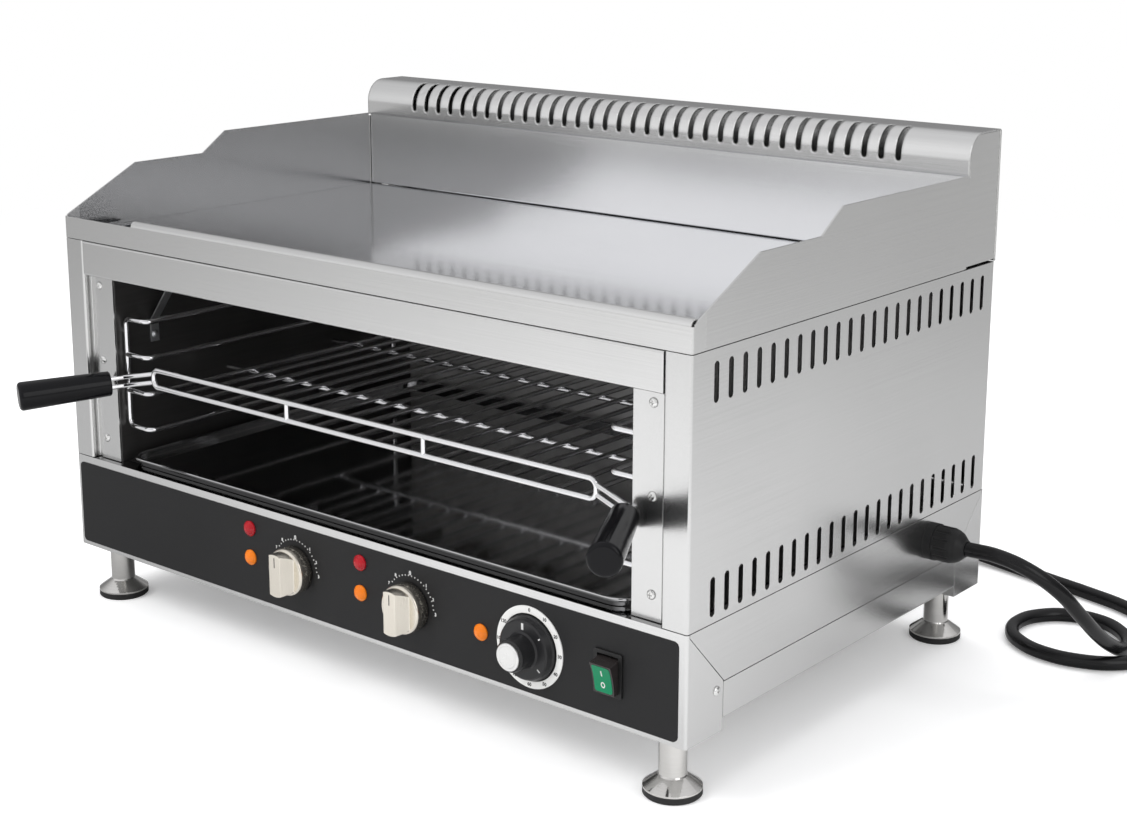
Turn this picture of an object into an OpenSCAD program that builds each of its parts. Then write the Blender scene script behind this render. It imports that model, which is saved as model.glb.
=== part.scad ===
// Countertop electric grill with a griddle top.
// X runs to the right, Y to the back and Z up. The origin lies on the floor, under the middle of the
// grill with its rack handles.

/* [Body] */
// Width over the side panels
body_w = 620; // [560:1:760]
// Depth from the control panel to the back
body_d = 392; // [385:1:480]
// Height of the body between the base and the griddle
body_h = 180.5; // [178:0.5:240]
// Thickness of the casing sheet
sheet = 1.2; // [0.8:0.1:1.5]
// Thickness of the liner sheet
liner_t = 1; // [0.6:0.1:1.4]
// Open line between two casing pieces
seam = 0.6; // [0.3:0.1:0.9]
// Width of a front post
post_w = 21; // [18:0.5:26]
// Depth of the return at the inner edge of a post
post_d = 8.4; // [7:0.1:12]
// Height of the rail over the cavity
rail_h = 28; // [22:0.5:30]
// Distance from the side of the body to the cavity
side_space = 47.5; // [46:0.5:70]
// Distance from the back of the body to the cavity
rear_space = 46; // [42:1:57]
// Width of the strip beside the cavity
strip_w = 24; // [20:0.5:24]

/* [Base] */
// Height of the base tray over the floor
foot_h = 51.8; // [40:0.1:80]
// Height of the base from the tray's underside to the body
base_h = 69.7; // [66:0.1:90]
// How far the control box hangs below the base tray
box_drop = 7.6; // [4:0.1:12]
// Depth of the control box at the bottom
box_d = 40.4; // [38:0.1:44]
// Height of the upright edge on the control box's side
box_side_h = 33.7; // [26:0.1:44]
// Depth of the ledge in front of the cavity
ledge_d = 14; // [12:0.5:20]
// Height of the black panel on the control box
overlay_h = 68; // [64:0.5:70]
// Steel left free to the left of the black panel
overlay_left = 4; // [4:0.5:20]
// Steel left free to the right of the black panel
overlay_right = 6.5; // [4:0.5:20]
// Thickness of the black panel
overlay_t = 0.5; // [0.3:0.1:1]

/* [Vents] */
// Slots in each row of a side panel
slot_n = 23; // [4:1:23]
// Width of a side slot
slot_w = 5.5; // [3:0.1:8]
// Length of a side slot
slot_len = 26.6; // [14:0.1:34]
// Distance of the first side slot from the front
slot_first = 26.4; // [22:0.1:32]
// Distance of the last side slot from the back
slot_last = 19.1; // [19:0.1:40]
// Slots in the flue
flue_slot_n = 35; // [5:1:35]
// Distance of the first flue slot from the side
flue_slot_side = 59.6; // [58:0.1:120]
// Width of a flue slot
flue_slot_w = 5; // [3:0.1:6.5]
// How far a flue slot climbs round the curve, in degrees
flue_slot_turn = 76; // [40:1:80]

/* [Griddle] */
// Height of the apron in front of the griddle
apron_h = 17.1; // [14:0.1:24]
// Width of the rounded rim on the apron
rim_w = 9; // [7:0.5:12]
// Length of the apron without a rim, at the left
rim_free = 84; // [70:1:120]
// Thickness of the griddle plate
plate_t = 3; // [2:0.5:5]
// Height of the splash guards over the body
guard_h = 70.5; // [64:0.5:100]
// Height of the guards' front step over the body
guard_step_h = 53.5; // [40:0.5:60]
// Depth at which the guard's first slope ends
guard_slope_y = 72; // [50:1:100]
// Depth at which the guard's second slope starts
guard_step_y = 143.5; // [120:0.5:160]
// Depth at which the guard's second slope ends
guard_top_y = 169; // [162:1:200]
// Depth of the flue
flue_d = 48.4; // [44:0.2:60]
// Height of the flue over the guards
flue_h = 30.5; // [28:0.5:40]
// Radius of the flue's front edge
flue_r = 19; // [12:0.5:24]
// Length of the drain sump, front to back
sump_l = 56; // [40:1:80]
// Width of the drain sump
sump_w = 28; // [20:1:32]
// Depth of the drain sump
sump_h = 11; // [6:0.5:12]

/* [Rack and tray] */
// Thickness of the rack's wires
wire_d = 4.5; // [3.5:0.1:5]
// Bars in the rack
rack_bars = 21; // [5:2:21]
// Distance from the rack to the back of the cavity
rack_rear = 21; // [18:1:50]
// Reach of the guides into the cavity
guide_reach = 28.5; // [27.5:0.5:40]
// Height of the lowest guide over the cavity floor
guide_low = 29.5; // [24:0.5:32]
// Distance from one guide to the next
guide_pitch = 29.7; // [26:0.1:31]
// Distance from the end of the rack's front loop to the guides
loop_gap = 9; // [9:0.5:30]
// Height of the rack's front loop
loop_h = 14; // [12:0.5:16]
// Length of a rack handle
handle_l = 72; // [50:1:100]
// Outer radius of a rack handle at its end
handle_r = 11.5; // [9:0.1:12]
// Angle of a rack handle away from straight forward
handle_splay = 28; // [0:1:32]
// Gap beside the crumb tray
tray_side = 5.5; // [4.5:0.5:30]
// Height of the crumb tray over its rim
tray_h = 6.6; // [5:0.1:9]
// Corner radius of the crumb tray
tray_r = 20; // [8:1:30]

/* [Controls] */
// Sideways place of the left thermostat knob
knob_left_x = -48; // [-60:1:-40]
// Sideways place of the right thermostat knob
knob_right_x = 70; // [60:1:80]
// Height of the thermostat knobs over the floor of the control box
knob_z = 38.3; // [34:0.1:42]
// Radius of a thermostat knob
knob_r = 17.9; // [14:0.1:20]
// Height of a thermostat knob over the panel
knob_h = 21.5; // [16:0.1:26]
// Distance of the timer from the right side
timer_side = 129; // [128:1:140]
// Radius of the timer knob's skirt
timer_r = 23; // [18:0.5:23]
// Width of the white ring round the timer knob
dial_w = 5.1; // [4:0.1:6]
// Distance of the switch from the right side
switch_side = 61.8; // [40:0.1:66]
// Width of the switch's frame
switch_w = 23; // [22:0.1:26]
// Height of the switch's frame
switch_h = 30.5; // [30.5:0.1:34]
// How far the rocker tips to each side, in degrees
rocker_tip = 13; // [8:1:13]
// Radius of a lamp
lamp_r = 6; // [5:0.1:7]

/* [Feet and mains lead] */
// Radius of a foot's pad
pad_r = 20; // [16:0.5:26]
// Height of a foot's pad
pad_h = 5; // [3:0.5:8]
// Radius of a foot's stem
stem_r = 9.5; // [7:0.5:12]
// Distance of a foot from the side
foot_side = 25; // [24:1:60]
// Distance of a foot from the front and the back
foot_front = 21; // [20:0.5:22]
// Thickness of the mains lead
cord_d = 11; // [8:0.5:11]
// Radius of the plug
plug_r = 19.5; // [18.5:0.1:20]

/* [Hidden] */
$fn = 48;

// Colours
steel = [0.74, 0.74, 0.73];
dark_steel = [0.10, 0.10, 0.10];
chrome = [0.82, 0.82, 0.84];
matte_black = [0.12, 0.12, 0.12];
gloss_black = [0.04, 0.04, 0.04];

// Clearances
touch_gap = 0.3;       // between round pieces that all but touch
slide_gap = 0.4;       // under and beside what slides
turn_gap = 0.05;       // round a spindle or a pivot
hole_gap = 0.1;        // round a screw or a stem in its hole
knob_gap = 0.4;        // between a knob and the panel

// Heights of the casing
box_z = foot_h - box_drop;
tray_top_z = box_z + box_side_h;
seam_z = foot_h + base_h;
body_z = seam_z + seam;
top_z = seam_z + body_h;
apron_z = top_z + seam;
guard_z = top_z + guard_h;
flue_z = guard_z + flue_h;
rail_z = top_z - rail_h;

// Places of the casing's sheets
half_w = body_w / 2;
wall_x = half_w - sheet / 2;
cavity_w = body_w - 2 * side_space;
cavity_d = body_d - rear_space;
inner_x = half_w - sheet;
post_x = half_w - post_w;
liner_x = cavity_w / 2;
flange_w = 9;
rear_y = body_d - sheet;
strip_y = post_d - 2 * sheet;
liner_front_y = post_d + liner_t / 2;
liner_out = 22.5;
tab_x = liner_x + 1.5;
strip_x = liner_x - 1.5;
floor_z = seam_z;
ceiling_z = top_z - 19;
panel_y = -overlay_t;
overlay_low = 3.4;
overlay_corner = 4;

// Screws
screw_r = 1.5;
head_r = 3.4;
head_h = 1.8;
stud_r = 4;
strip_screw_x = liner_x + 14.5;
strip_screw_z = [floor_z + 18, floor_z + 83.5, rail_z - 8];
strip_screw_l = 7;
side_screw_y = 33;
side_screw_z = box_z + 29.8;
side_screw_l = 3;

// Slots
slot_pitch = (body_d - slot_first - slot_last) / (slot_n - 1);
slot_above = 4.6;
slot_below = 8;
flue_slot_pitch = (body_w - 2 * flue_slot_side) / (flue_slot_n - 1);
flue_slot_low = guard_z + 6;

// Rack and its guides
guide_x = liner_x - guide_reach;
guide_z = [for (i = [0:3]) floor_z + guide_low + i * guide_pitch];
rack_level = 1;
upright_x = liner_x - wire_d / 2 - touch_gap;
upright_y = 17;
support_back_y = cavity_d - 26;
support_stub = [14, 10];
wire_bend = 6;
rack_y = 15;
rack_l = cavity_d - rack_rear - rack_y;
loop_w = 2 * (guide_x - loop_gap);
rack_pitch = (loop_w - 30) / (rack_bars - 1);
cross_z = guide_z[rack_level] + wire_d + touch_gap;
bar_d = wire_d - 0.5;
bar_z = cross_z + (wire_d + bar_d) / 2 - touch_gap;
loop_z = bar_z + loop_h;
cross_x = guide_x + 9;
cross_y = [rack_y + 0.3 * rack_l, rack_y + 0.69 * rack_l, rack_y + rack_l];
connector_x = 70;

// Handles
handle_start = [liner_x - 2.5, -1, bar_z];
handle_aim = [sin(handle_splay), -cos(handle_splay), -0.055];
handle_tail_r = 10;
handle_round = 3;
handle_reach = handle_l * cos(handle_splay) / norm(handle_aim) - handle_start.y
    + (handle_r - handle_round) * sin(handle_splay) + handle_round
    - handle_round * cos(handle_splay);
front_y = (handle_reach - body_d - head_h) / 2;

// Crumb tray
tray_z = floor_z + slide_gap;
tray_y = 7;
tray_back_y = cavity_d - 8;
tray_w = cavity_w - 2 * tray_side;
tray_rim_d = 3;
tray_wall_in = 4;
tray_t = 0.8;

// Griddle
plate_z = apron_z + sheet;
plate_top_z = plate_z + plate_t;
rim_y = rim_w - sheet;
flue_y = body_d - flue_d;
apron_top_z = apron_z + apron_h;
sump_x = -inner_x + flange_w + touch_gap;
sump_y = ledge_d + 1;

// Heating elements
element_d = 8;
grill_z = ceiling_z - 16;
griddle_element_z = plate_z - touch_gap - element_d / 2;
element_legs = 6;
element_side = 34.5;
element_middle = 28;
element_pitch = (liner_x - element_side - element_middle) / (element_legs - 1);
element_x = [-liner_x + element_side, element_middle];
grill_element_y = [60, cavity_d - 12];
griddle_element_y = [90, cavity_d - 26];
griddle_tail = 4;
bracket_y = [47, 217];
bracket_w = 8;
bracket_screw_z = floor_z + 100;
bracket_low_z = bracket_screw_z - 6;
bracket_high_z = bracket_screw_z + 12;
bracket_seat = [element_side - 12.5, element_side + 3.5];

// Controls
control_z = box_z + knob_z;
knob_x = [knob_left_x, knob_right_x];
timer_x = half_w - timer_side;
switch_x = half_w - switch_side;
spindle_r = 3;
skirt_h = 11.5;
grip_w = 11.4;
timer_z = control_z - 1.8;
switch_z = control_z - 2;
rocker_w = 17;
rocker_h = 22;
rocker_y = 2;
rocker_reach = 10.3;
rocker_pin_r = 1.5;
lamp_x = [knob_left_x - 50, knob_right_x - 49.7, timer_x - 44];
red_at = [for (i = [0, 1]) [lamp_x[i], control_z + 20.5]];
amber_at = [for (x = lamp_x) [x, control_z - 2.5]];
stem_hole_r = lamp_r - 1;

// Mains lead
gland_at = [half_w, body_d - 81, box_z + 56.8];
gland_r = 14;
gland_thread_r = 10;
gland_len = 30;
cord_r = cord_d / 2;
lie_z = cord_r;
coil_x = half_w - 160;
coil_y = body_d + 92;
coil_r = 68;
coil_pitch = 12.4;
coil_z = cord_r + 1.9;
coil_turns = 3;
coil_tail = 56;
coil_rings = 24;
coil_climb = 0.5;

// The lead's free run, from the gland round one loop on the floor and away behind the body. Its
// points are counted from the body's right side and back.
cord_run = [
    [56, -81, 101], [78, -76, 94], [95, -62, 78], [104, -42, 56], [108, -20, 36], [110, 3, 20],
    [110, 26, 9], [105, 48, 5.5], [91, 67, 5.5], [69, 78, 5.5], [45, 75, 5.5], [27, 60, 5.5],
    [19, 38, 5.5], [24, 14, 5.5], [41, -3, 5.5], [65, -11, 5.5], [91, -8, 5.5], [114, 5, 5.5],
    [128, 27, 5.5], [131, 54, 5.5], [121, 82, 5.5], [99, 105, 5.5], [70, 121, 5.5],
    [35, 131, 5.5], [-5, 140, 5.5], [-45, 149, 6], [-80, 155, 7], [-115, 159, 7.4],
    [-145, 160, 7.4]
];
cord_route = [
    [half_w + gland_len, gland_at.y, gland_at.z],
    for (p = cord_run) [half_w + p.x, body_d + p.y, p.z],
    [coil_x, coil_y + coil_r, coil_z]
];

// Height of the guard's front slope over a depth
function guard_line(y) = apron_top_z + (top_z + guard_step_h - apron_top_z) * y / guard_slope_y;

// Vector helpers
function unit(v) = v / norm(v);
function heading(p, i) = unit(p[i + 1] - p[i]);
function bend_angle(p, i) = acos(heading(p, i - 1) * heading(p, i));
function bend_r(r, i) = is_list(r) ? r[i - 1] : r;
function bend_cut(p, r, i) = i == 0 || i == len(p) - 1 ? 0 : bend_r(r, i) * tan(bend_angle(p, i) / 2);

// Everything is drawn with the front face at Y = 0 and then set about the origin
module at_front() {
    translate([0, front_y, 0]) children();
}

module to_left() {
    mirror([1, 0, 0]) children();
}

// A flat outline in X and Z, as thick as from one depth to another
module along_y(from, to) {
    translate([0, to, 0]) rotate([90, 0, 0]) linear_extrude(to - from) children();
}

// A flat outline in Y and Z, as thick as from one side place to another
module along_x(from, to) {
    translate([from, 0, 0]) rotate([90, 0, 90]) linear_extrude(to - from) children();
}

// A flat outline in X and Y, as thick as from one height to another
module along_z(from, to) {
    translate([0, 0, from]) linear_extrude(to - from) children();
}

module block(low, high) {
    translate(low) cube(high - low);
}

// Sheet seen on its edge, bent along the line of points that runs in its middle
module folded(p, r = sheet, t = sheet) {
    for (i = [0 : len(p) - 2]) {
        from = p[i] + heading(p, i) * bend_cut(p, r, i);
        to = p[i + 1] - heading(p, i) * bend_cut(p, r, i + 1);
        if (norm(to - from) > 0.01)
            translate(from) rotate(atan2(heading(p, i).y, heading(p, i).x))
                translate([0, -t / 2]) square([norm(to - from), t]);
    }
    for (i = [1 : 1 : len(p) - 2]) {
        radius = bend_r(r, i);
        centre = p[i] + unit(heading(p, i) - heading(p, i - 1)) * radius / cos(bend_angle(p, i) / 2);
        first = p[i] - heading(p, i - 1) * bend_cut(p, r, i) - centre;
        last = p[i] + heading(p, i) * bend_cut(p, r, i) - centre;
        translate(centre) intersection() {
            difference() {
                circle(radius + t / 2);
                circle(radius - t / 2);
            }
            polygon([[0, 0], 3 * first, 3 * (p[i] - centre), 3 * last]);
        }
    }
}

// Upright slot with round ends, its lower end at the origin
module slot(w, l) {
    translate([-w / 2, w / 2]) square([w, l - w]);
    translate([0, w / 2]) circle(d = w);
    translate([0, l - w / 2]) circle(d = w);
}

module rounded_square(size, r) {
    translate([r, 0]) square([size.x - 2 * r, size.y]);
    translate([0, r]) square([size.x, size.y - 2 * r]);
    for (x = [r, size.x - r], y = [r, size.y - r]) translate([x, y]) circle(r);
}

module aim(p, v) {
    translate(p) rotate([0, acos(v.z / norm(v)), atan2(v.y, v.x)]) children();
}

module rod(from, to, d) {
    aim(from, to - from) cylinder(d = d, h = norm(to - from));
}

// Round wire through the points, with rounded bends
module wire(p, d, r) {
    for (i = [0 : len(p) - 2])
        rod(p[i] + heading(p, i) * bend_cut(p, r, i),
            p[i + 1] - heading(p, i) * bend_cut(p, r, i + 1), d);
    for (i = [1 : 1 : len(p) - 2]) {
        a = heading(p, i - 1);
        centre = p[i] + unit(heading(p, i) - a) * r / cos(bend_angle(p, i) / 2);
        x = unit(p[i] - a * bend_cut(p, r, i) - centre);
        z = cross(x, a);
        multmatrix([[x.x, a.x, z.x, centre.x], [x.y, a.y, z.y, centre.y], [x.z, a.z, z.z, centre.z],
            [0, 0, 0, 1]])
            rotate_extrude(angle = bend_angle(p, i)) translate([r, 0]) circle(d = d);
    }
}

// Domed screw head, its flat side at the origin and its dome upwards
module screw_head() {
    ball = (head_r * head_r + head_h * head_h) / (2 * head_h);
    rotate_extrude() intersection() {
        translate([0, head_h - ball]) circle(ball);
        square([head_r, head_h]);
    }
}

// Screw whose head looks along v and whose head rests at p
module screw(p, v, l) {
    aim(p, v) screw_head();
    rod(p, p - unit(v) * l, 2 * screw_r);
}

// ---- casing -------------------------------------------------------------------------------------

module slot_row(z) {
    for (i = [0 : slot_n - 1]) translate([slot_first + i * slot_pitch, z]) slot(slot_w, slot_len);
}

module side_panel() {
    color(steel) difference() {
        union() {
            along_z(body_z, top_z)
                folded([[tab_x, strip_y + 1.5 * sheet], [post_x + sheet / 2, strip_y + 1.5 * sheet],
                    [post_x + sheet / 2, sheet / 2], [wall_x, sheet / 2],
                    [wall_x, rear_y - sheet / 2], [wall_x - flange_w, rear_y - sheet / 2]]);
            for (z = [body_z, top_z - sheet])
                block([inner_x - flange_w, ledge_d, z], [inner_x, rear_y - 2 * flange_w, z + sheet]);
        }
        block([0, -1, rail_z - seam], [post_x, post_d + 1, top_z + 1]);
        along_x(inner_x - 1, half_w + 1) {
            slot_row(top_z - slot_below - slot_len);
            slot_row(body_z + slot_above);
        }
        for (z = strip_screw_z) translate([strip_screw_x, strip_y, z]) rotate([-90, 0, 0])
            cylinder(r = screw_r + hole_gap, h = post_d);
    }
}

module side_panel_right() { at_front() side_panel(); }

module side_panel_left() { at_front() to_left() side_panel(); }

rear_screws = [for (z = [body_z + 20, (body_z + top_z) / 2, top_z - 20], s = [-1, 1])
    [s * (inner_x - flange_w / 2), rear_y + sheet, z]];

module rear_panel() {
    at_front() color(steel) difference() {
        block([-inner_x, rear_y, body_z], [inner_x, body_d, top_z]);
        for (p = rear_screws) rod(p - [0, 2 * sheet, 0], p + [0, 1, 0], 2 * (screw_r + hole_gap));
    }
}

module top_rail() {
    at_front() color(steel) along_x(-post_x + seam, post_x - seam)
        folded([[ledge_d, rail_z + sheet / 2], [sheet / 2, rail_z + sheet / 2],
            [sheet / 2, top_z - sheet / 2], [ledge_d, top_z - sheet / 2]]);
}

// Folded box along the front of the base, open behind, its side returns cut off on a slant
module base_box() {
    difference() {
        union() {
            along_z(box_z, seam_z)
                folded([[-wall_x, box_d], [-wall_x, sheet / 2], [wall_x, sheet / 2], [wall_x, box_d]]);
            block([-inner_x, sheet / 2, box_z], [inner_x, box_d, box_z + sheet]);
            block([-inner_x, box_d - sheet, box_z], [inner_x, box_d, foot_h - seam]);
            block([-inner_x, sheet / 2, seam_z - sheet], [inner_x, ledge_d, seam_z]);
        }
        for (s = [-1, 1]) {
            along_x(s * wall_x - sheet, s * wall_x + sheet)
                polygon([[2 * sheet, seam_z + 1], [2 * sheet, seam_z - 2 * sheet],
                    [box_d + 1, tray_top_z], [box_d + 1, seam_z + 1]]);
            translate([s * (half_w - foot_side), foot_front, box_z - 1])
                cylinder(r = stud_r + hole_gap, h = 2 + sheet);
        }
        for (s = [-1, 1])
            rod([s * (inner_x - 1), side_screw_y, side_screw_z],
                [s * (half_w + 1), side_screw_y, side_screw_z], 2 * (screw_r + hole_gap));
    }
}

// What passes through the face of the control box, from one depth to another
module control_holes(from, to) {
    along_y(from, to) {
        for (x = knob_x) translate([x, control_z]) circle(spindle_r + 1);
        translate([timer_x, timer_z]) circle(spindle_r + 1);
        for (p = concat(red_at, amber_at)) translate(p) circle(stem_hole_r);
        translate([switch_x - switch_w / 2 + sheet, switch_z - switch_h / 2 + sheet])
            square([switch_w - 2 * sheet, switch_h - 2 * sheet]);
    }
}

module control_panel() {
    at_front() color(steel) difference() {
        base_box();
        control_holes(-1, 2 * sheet);
    }
}

module control_overlay() {
    at_front() color(matte_black) difference() {
        along_y(-overlay_t, 0) translate([-half_w + overlay_left, box_z + overlay_low])
            rounded_square([body_w - overlay_left - overlay_right, overlay_h], overlay_corner);
        control_holes(-1, 1);
    }
}

module base_rear_panel() {
    at_front() color(steel) translate([0, body_d, 0]) mirror([0, 1, 0]) base_box();
}

module base_tray() {
    at_front() color(steel) along_y(box_d + seam, body_d - box_d - seam)
        folded([[-wall_x, tray_top_z], [-wall_x, foot_h + sheet / 2],
            [wall_x, foot_h + sheet / 2], [wall_x, tray_top_z]]);
}

module base_side(gland_hole) {
    low_z = tray_top_z + seam;
    color(steel) difference() {
        union() {
            along_x(inner_x, half_w)
                polygon([[box_d + 2 * seam, low_z], [body_d - box_d - 2 * seam, low_z],
                    [body_d - 2 * sheet - seam, seam_z - 2 * sheet], [body_d - 2 * sheet - seam, seam_z],
                    [2 * sheet + seam, seam_z], [2 * sheet + seam, seam_z - 2 * sheet]]);
            block([inner_x - flange_w, box_d, seam_z - sheet], [inner_x, body_d - box_d, seam_z]);
        }
        if (gland_hole)
            rod([inner_x - 1, gland_at.y, gland_at.z], [half_w + 1, gland_at.y, gland_at.z],
                2 * (gland_thread_r + hole_gap));
    }
}

module base_side_right() { at_front() base_side(true); }

module base_side_left() { at_front() to_left() base_side(false); }

// ---- cavity -------------------------------------------------------------------------------------

module cavity_floor() {
    at_front() color(dark_steel)
        block([-liner_x - liner_out - 10, ledge_d + seam, floor_z - sheet],
            [liner_x + liner_out + 10, cavity_d + 2, floor_z]);
}

module liner() {
    middle = liner_x + liner_t / 2;
    color(dark_steel) difference() {
        along_z(floor_z, ceiling_z)
            folded([[middle + liner_out, liner_front_y], [middle, liner_front_y],
                [middle, cavity_d - liner_t / 2], [middle + liner_out, cavity_d - liner_t / 2]],
                liner_t, liner_t);
        for (z = strip_screw_z) translate([strip_screw_x, strip_y, z]) rotate([-90, 0, 0])
            cylinder(r = screw_r + hole_gap, h = post_d);
        block([0, 0, rail_z - touch_gap], [half_w, ledge_d + touch_gap, top_z]);
    }
}

module liner_right() { at_front() liner(); }

module liner_left() { at_front() to_left() liner(); }

module liner_rear() {
    at_front() color(dark_steel)
        block([-liner_x - liner_out, cavity_d, floor_z], [liner_x + liner_out, cavity_d + liner_t, ceiling_z]);
}

module cavity_ceiling() {
    at_front() color(dark_steel)
        block([-liner_x - liner_out, post_d, ceiling_z],
            [liner_x + liner_out, cavity_d + liner_t, ceiling_z + liner_t]);
}

module inner_strip() {
    color(steel) difference() {
        block([strip_x, strip_y, body_z], [strip_x + strip_w, strip_y + sheet, rail_z - seam]);
        for (z = strip_screw_z) translate([strip_screw_x, strip_y - 1, z]) rotate([-90, 0, 0])
            cylinder(r = screw_r + hole_gap, h = post_d);
    }
}

module inner_strip_right() { at_front() inner_strip(); }

module inner_strip_left() { at_front() to_left() inner_strip(); }

module strip_screws() {
    at_front() color(chrome) for (s = [-1, 1], z = strip_screw_z)
        screw([s * strip_screw_x, strip_y, z], [0, -1, 0], strip_screw_l);
}

// ---- rack and crumb tray ------------------------------------------------------------------------

// Closed wire frame whose top and bottom sides are guides, with two more guides between them
module rack_support() {
    top = guide_z[3];
    bottom = guide_z[0];
    middle = (top + bottom) / 2;
    color(chrome) union() {
        wire([[upright_x, upright_y, middle], [upright_x, upright_y, top], [guide_x, upright_y, top],
            [guide_x, support_back_y, top], [upright_x, support_back_y, top],
            [upright_x, support_back_y, bottom], [guide_x, support_back_y, bottom],
            [guide_x, upright_y, bottom], [upright_x, upright_y, bottom],
            [upright_x, upright_y, middle]], wire_d, wire_bend);
        for (z = [guide_z[1], guide_z[2]])
            wire([[upright_x, upright_y, z], [guide_x, upright_y, z], [guide_x, support_back_y, z],
                [upright_x, support_back_y, z]], wire_d, wire_bend);
        for (y = [upright_y, support_back_y], z = [bottom + support_stub[0], top - support_stub[1]])
            rod([upright_x, y, z], [liner_x, y, z], wire_d);
    }
}

module rack_support_right() { at_front() rack_support(); }

module rack_support_left() { at_front() to_left() rack_support(); }

module handle_form() {
    aim(handle_start, handle_aim) rotate_extrude() {
        polygon([[0, 0], [handle_tail_r - 1, 0], [handle_tail_r, 1],
            [handle_r, handle_l - handle_round], [handle_r - handle_round, handle_l], [0, handle_l]]);
        translate([handle_r - handle_round, handle_l - handle_round]) circle(handle_round);
    }
}

module wire_rack() {
    back_y = rack_y + rack_l;
    seam_x = rack_pitch / 2;
    grip = unit(handle_aim);
    at_front() color(chrome) union() {
        for (i = [0 : rack_bars - 1]) {
            x = (i - (rack_bars - 1) / 2) * rack_pitch;
            rod([x, rack_y, bar_z], [x, back_y + wire_d, bar_z], bar_d);
        }
        for (y = cross_y) rod([-cross_x, y, cross_z], [cross_x, y, cross_z], wire_d);
        wire([[seam_x, rack_y, loop_z], [loop_w / 2, rack_y, loop_z], [loop_w / 2, rack_y, bar_z],
            [-loop_w / 2, rack_y, bar_z], [-loop_w / 2, rack_y, loop_z], [seam_x, rack_y, loop_z]],
            wire_d, wire_bend);
        for (x = [-connector_x, connector_x]) rod([x, rack_y, bar_z], [x, rack_y, loop_z], bar_d);
        for (s = [0, 1]) mirror([s, 0, 0]) difference() {
            for (z = [-1, 1] * loop_h / 4) {
                elbow = handle_start - 11 * grip + [0, 0, z];
                rod([loop_w / 2, rack_y, (bar_z + loop_z) / 2 + z], elbow, bar_d);
                translate(elbow) sphere(d = bar_d + touch_gap);
                rod(elbow, handle_start + 6 * grip + [0, 0, z], bar_d);
            }
            handle_form();
        }
    }
}

module rack_handle_right() { at_front() color(gloss_black) handle_form(); }

module rack_handle_left() { at_front() to_left() color(gloss_black) handle_form(); }

// Outline of the crumb tray, drawn in by a margin
module tray_outline(margin) {
    translate([-tray_w / 2 + margin, tray_y + margin])
        rounded_square([tray_w - 2 * margin, tray_back_y - tray_y - 2 * margin], tray_r - margin);
}

module crumb_tray() {
    rim = tray_rim_d / 2;
    rim_z = tray_z + tray_h - rim;
    x = tray_w / 2 - rim;
    front = tray_y + rim;
    back = tray_back_y - rim;
    middle = (front + back) / 2;
    at_front() color(chrome) union() {
        along_z(tray_z, tray_z + tray_t) tray_outline(tray_wall_in);
        along_z(tray_z, rim_z) difference() {
            tray_outline(tray_wall_in);
            tray_outline(tray_wall_in + tray_t);
        }
        along_z(rim_z - tray_t / 2, rim_z + tray_t / 2) difference() {
            tray_outline(rim);
            tray_outline(tray_wall_in + tray_t);
        }
        wire([[x, middle, rim_z], [x, back, rim_z], [-x, back, rim_z], [-x, front, rim_z],
            [x, front, rim_z], [x, middle, rim_z]], tray_rim_d, tray_r - rim);
    }
}

// ---- griddle ------------------------------------------------------------------------------------

module griddle_apron() {
    low = apron_z + sheet / 2;
    face = sheet / 2;
    round = (rim_w - sheet) / 2;
    crown = apron_z + apron_h + round;
    start = -half_w + rim_free;
    at_front() color(steel) union() {
        along_z(apron_z, apron_z + apron_h)
            folded([[-wall_x, ledge_d], [-wall_x, face], [wall_x, face], [wall_x, ledge_d]]);
        block([-inner_x, face, apron_z], [inner_x, ledge_d, apron_z + sheet]);
        for (s = [-1, 1]) along_x(s * wall_x - sheet / 2, s * wall_x + sheet / 2)
            polygon([[2 * sheet, apron_z], [ledge_d, apron_z], [ledge_d, guard_line(ledge_d)],
                [2 * sheet, guard_line(2 * sheet)]]);
        along_x(start, inner_x - touch_gap)
            folded([[face, low + sheet], [face, crown], [rim_y + face, crown],
                [rim_y + face, plate_top_z + touch_gap]], round);
    }
}

module sump_outline(margin) {
    translate([sump_x + margin, sump_y + margin])
        rounded_square([sump_w - 2 * margin, sump_l - 2 * margin], sump_w / 2 - margin - 0.01);
}

module griddle_plate() {
    at_front() color(steel) difference() {
        union() {
            block([-inner_x + touch_gap, ledge_d + touch_gap - 4, plate_z],
                [inner_x - touch_gap, flue_y + sheet, plate_top_z]);
            along_z(plate_z - sump_h, plate_z) sump_outline(0);
        }
        along_z(plate_z - sump_h + sheet, plate_top_z + 1) sump_outline(sheet);
    }
}

// The guards are butt-welded to the apron's side returns, so the two meet face to face
module splash_guard() {
    color(steel) union() {
        along_x(inner_x, half_w)
            polygon([[ledge_d, apron_z], [flue_y - seam, apron_z], [flue_y - seam, guard_z],
                [guard_top_y, guard_z], [guard_step_y, guard_line(guard_slope_y)],
                [guard_slope_y, guard_line(guard_slope_y)], [ledge_d, guard_line(ledge_d)]]);
        block([inner_x - flange_w, ledge_d, apron_z], [inner_x, flue_y - seam, apron_z + sheet]);
    }
}

module splash_guard_right() { at_front() splash_guard(); }

module splash_guard_left() { at_front() to_left() splash_guard(); }

module splash_back() {
    middle = flue_y + 1.5 * sheet;
    at_front() color(steel) along_x(-inner_x + seam + touch_gap, inner_x - seam - touch_gap)
        folded([[middle + flange_w, plate_top_z + sheet / 2], [middle, plate_top_z + sheet / 2],
            [middle, guard_z + 6]]);
}

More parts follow.
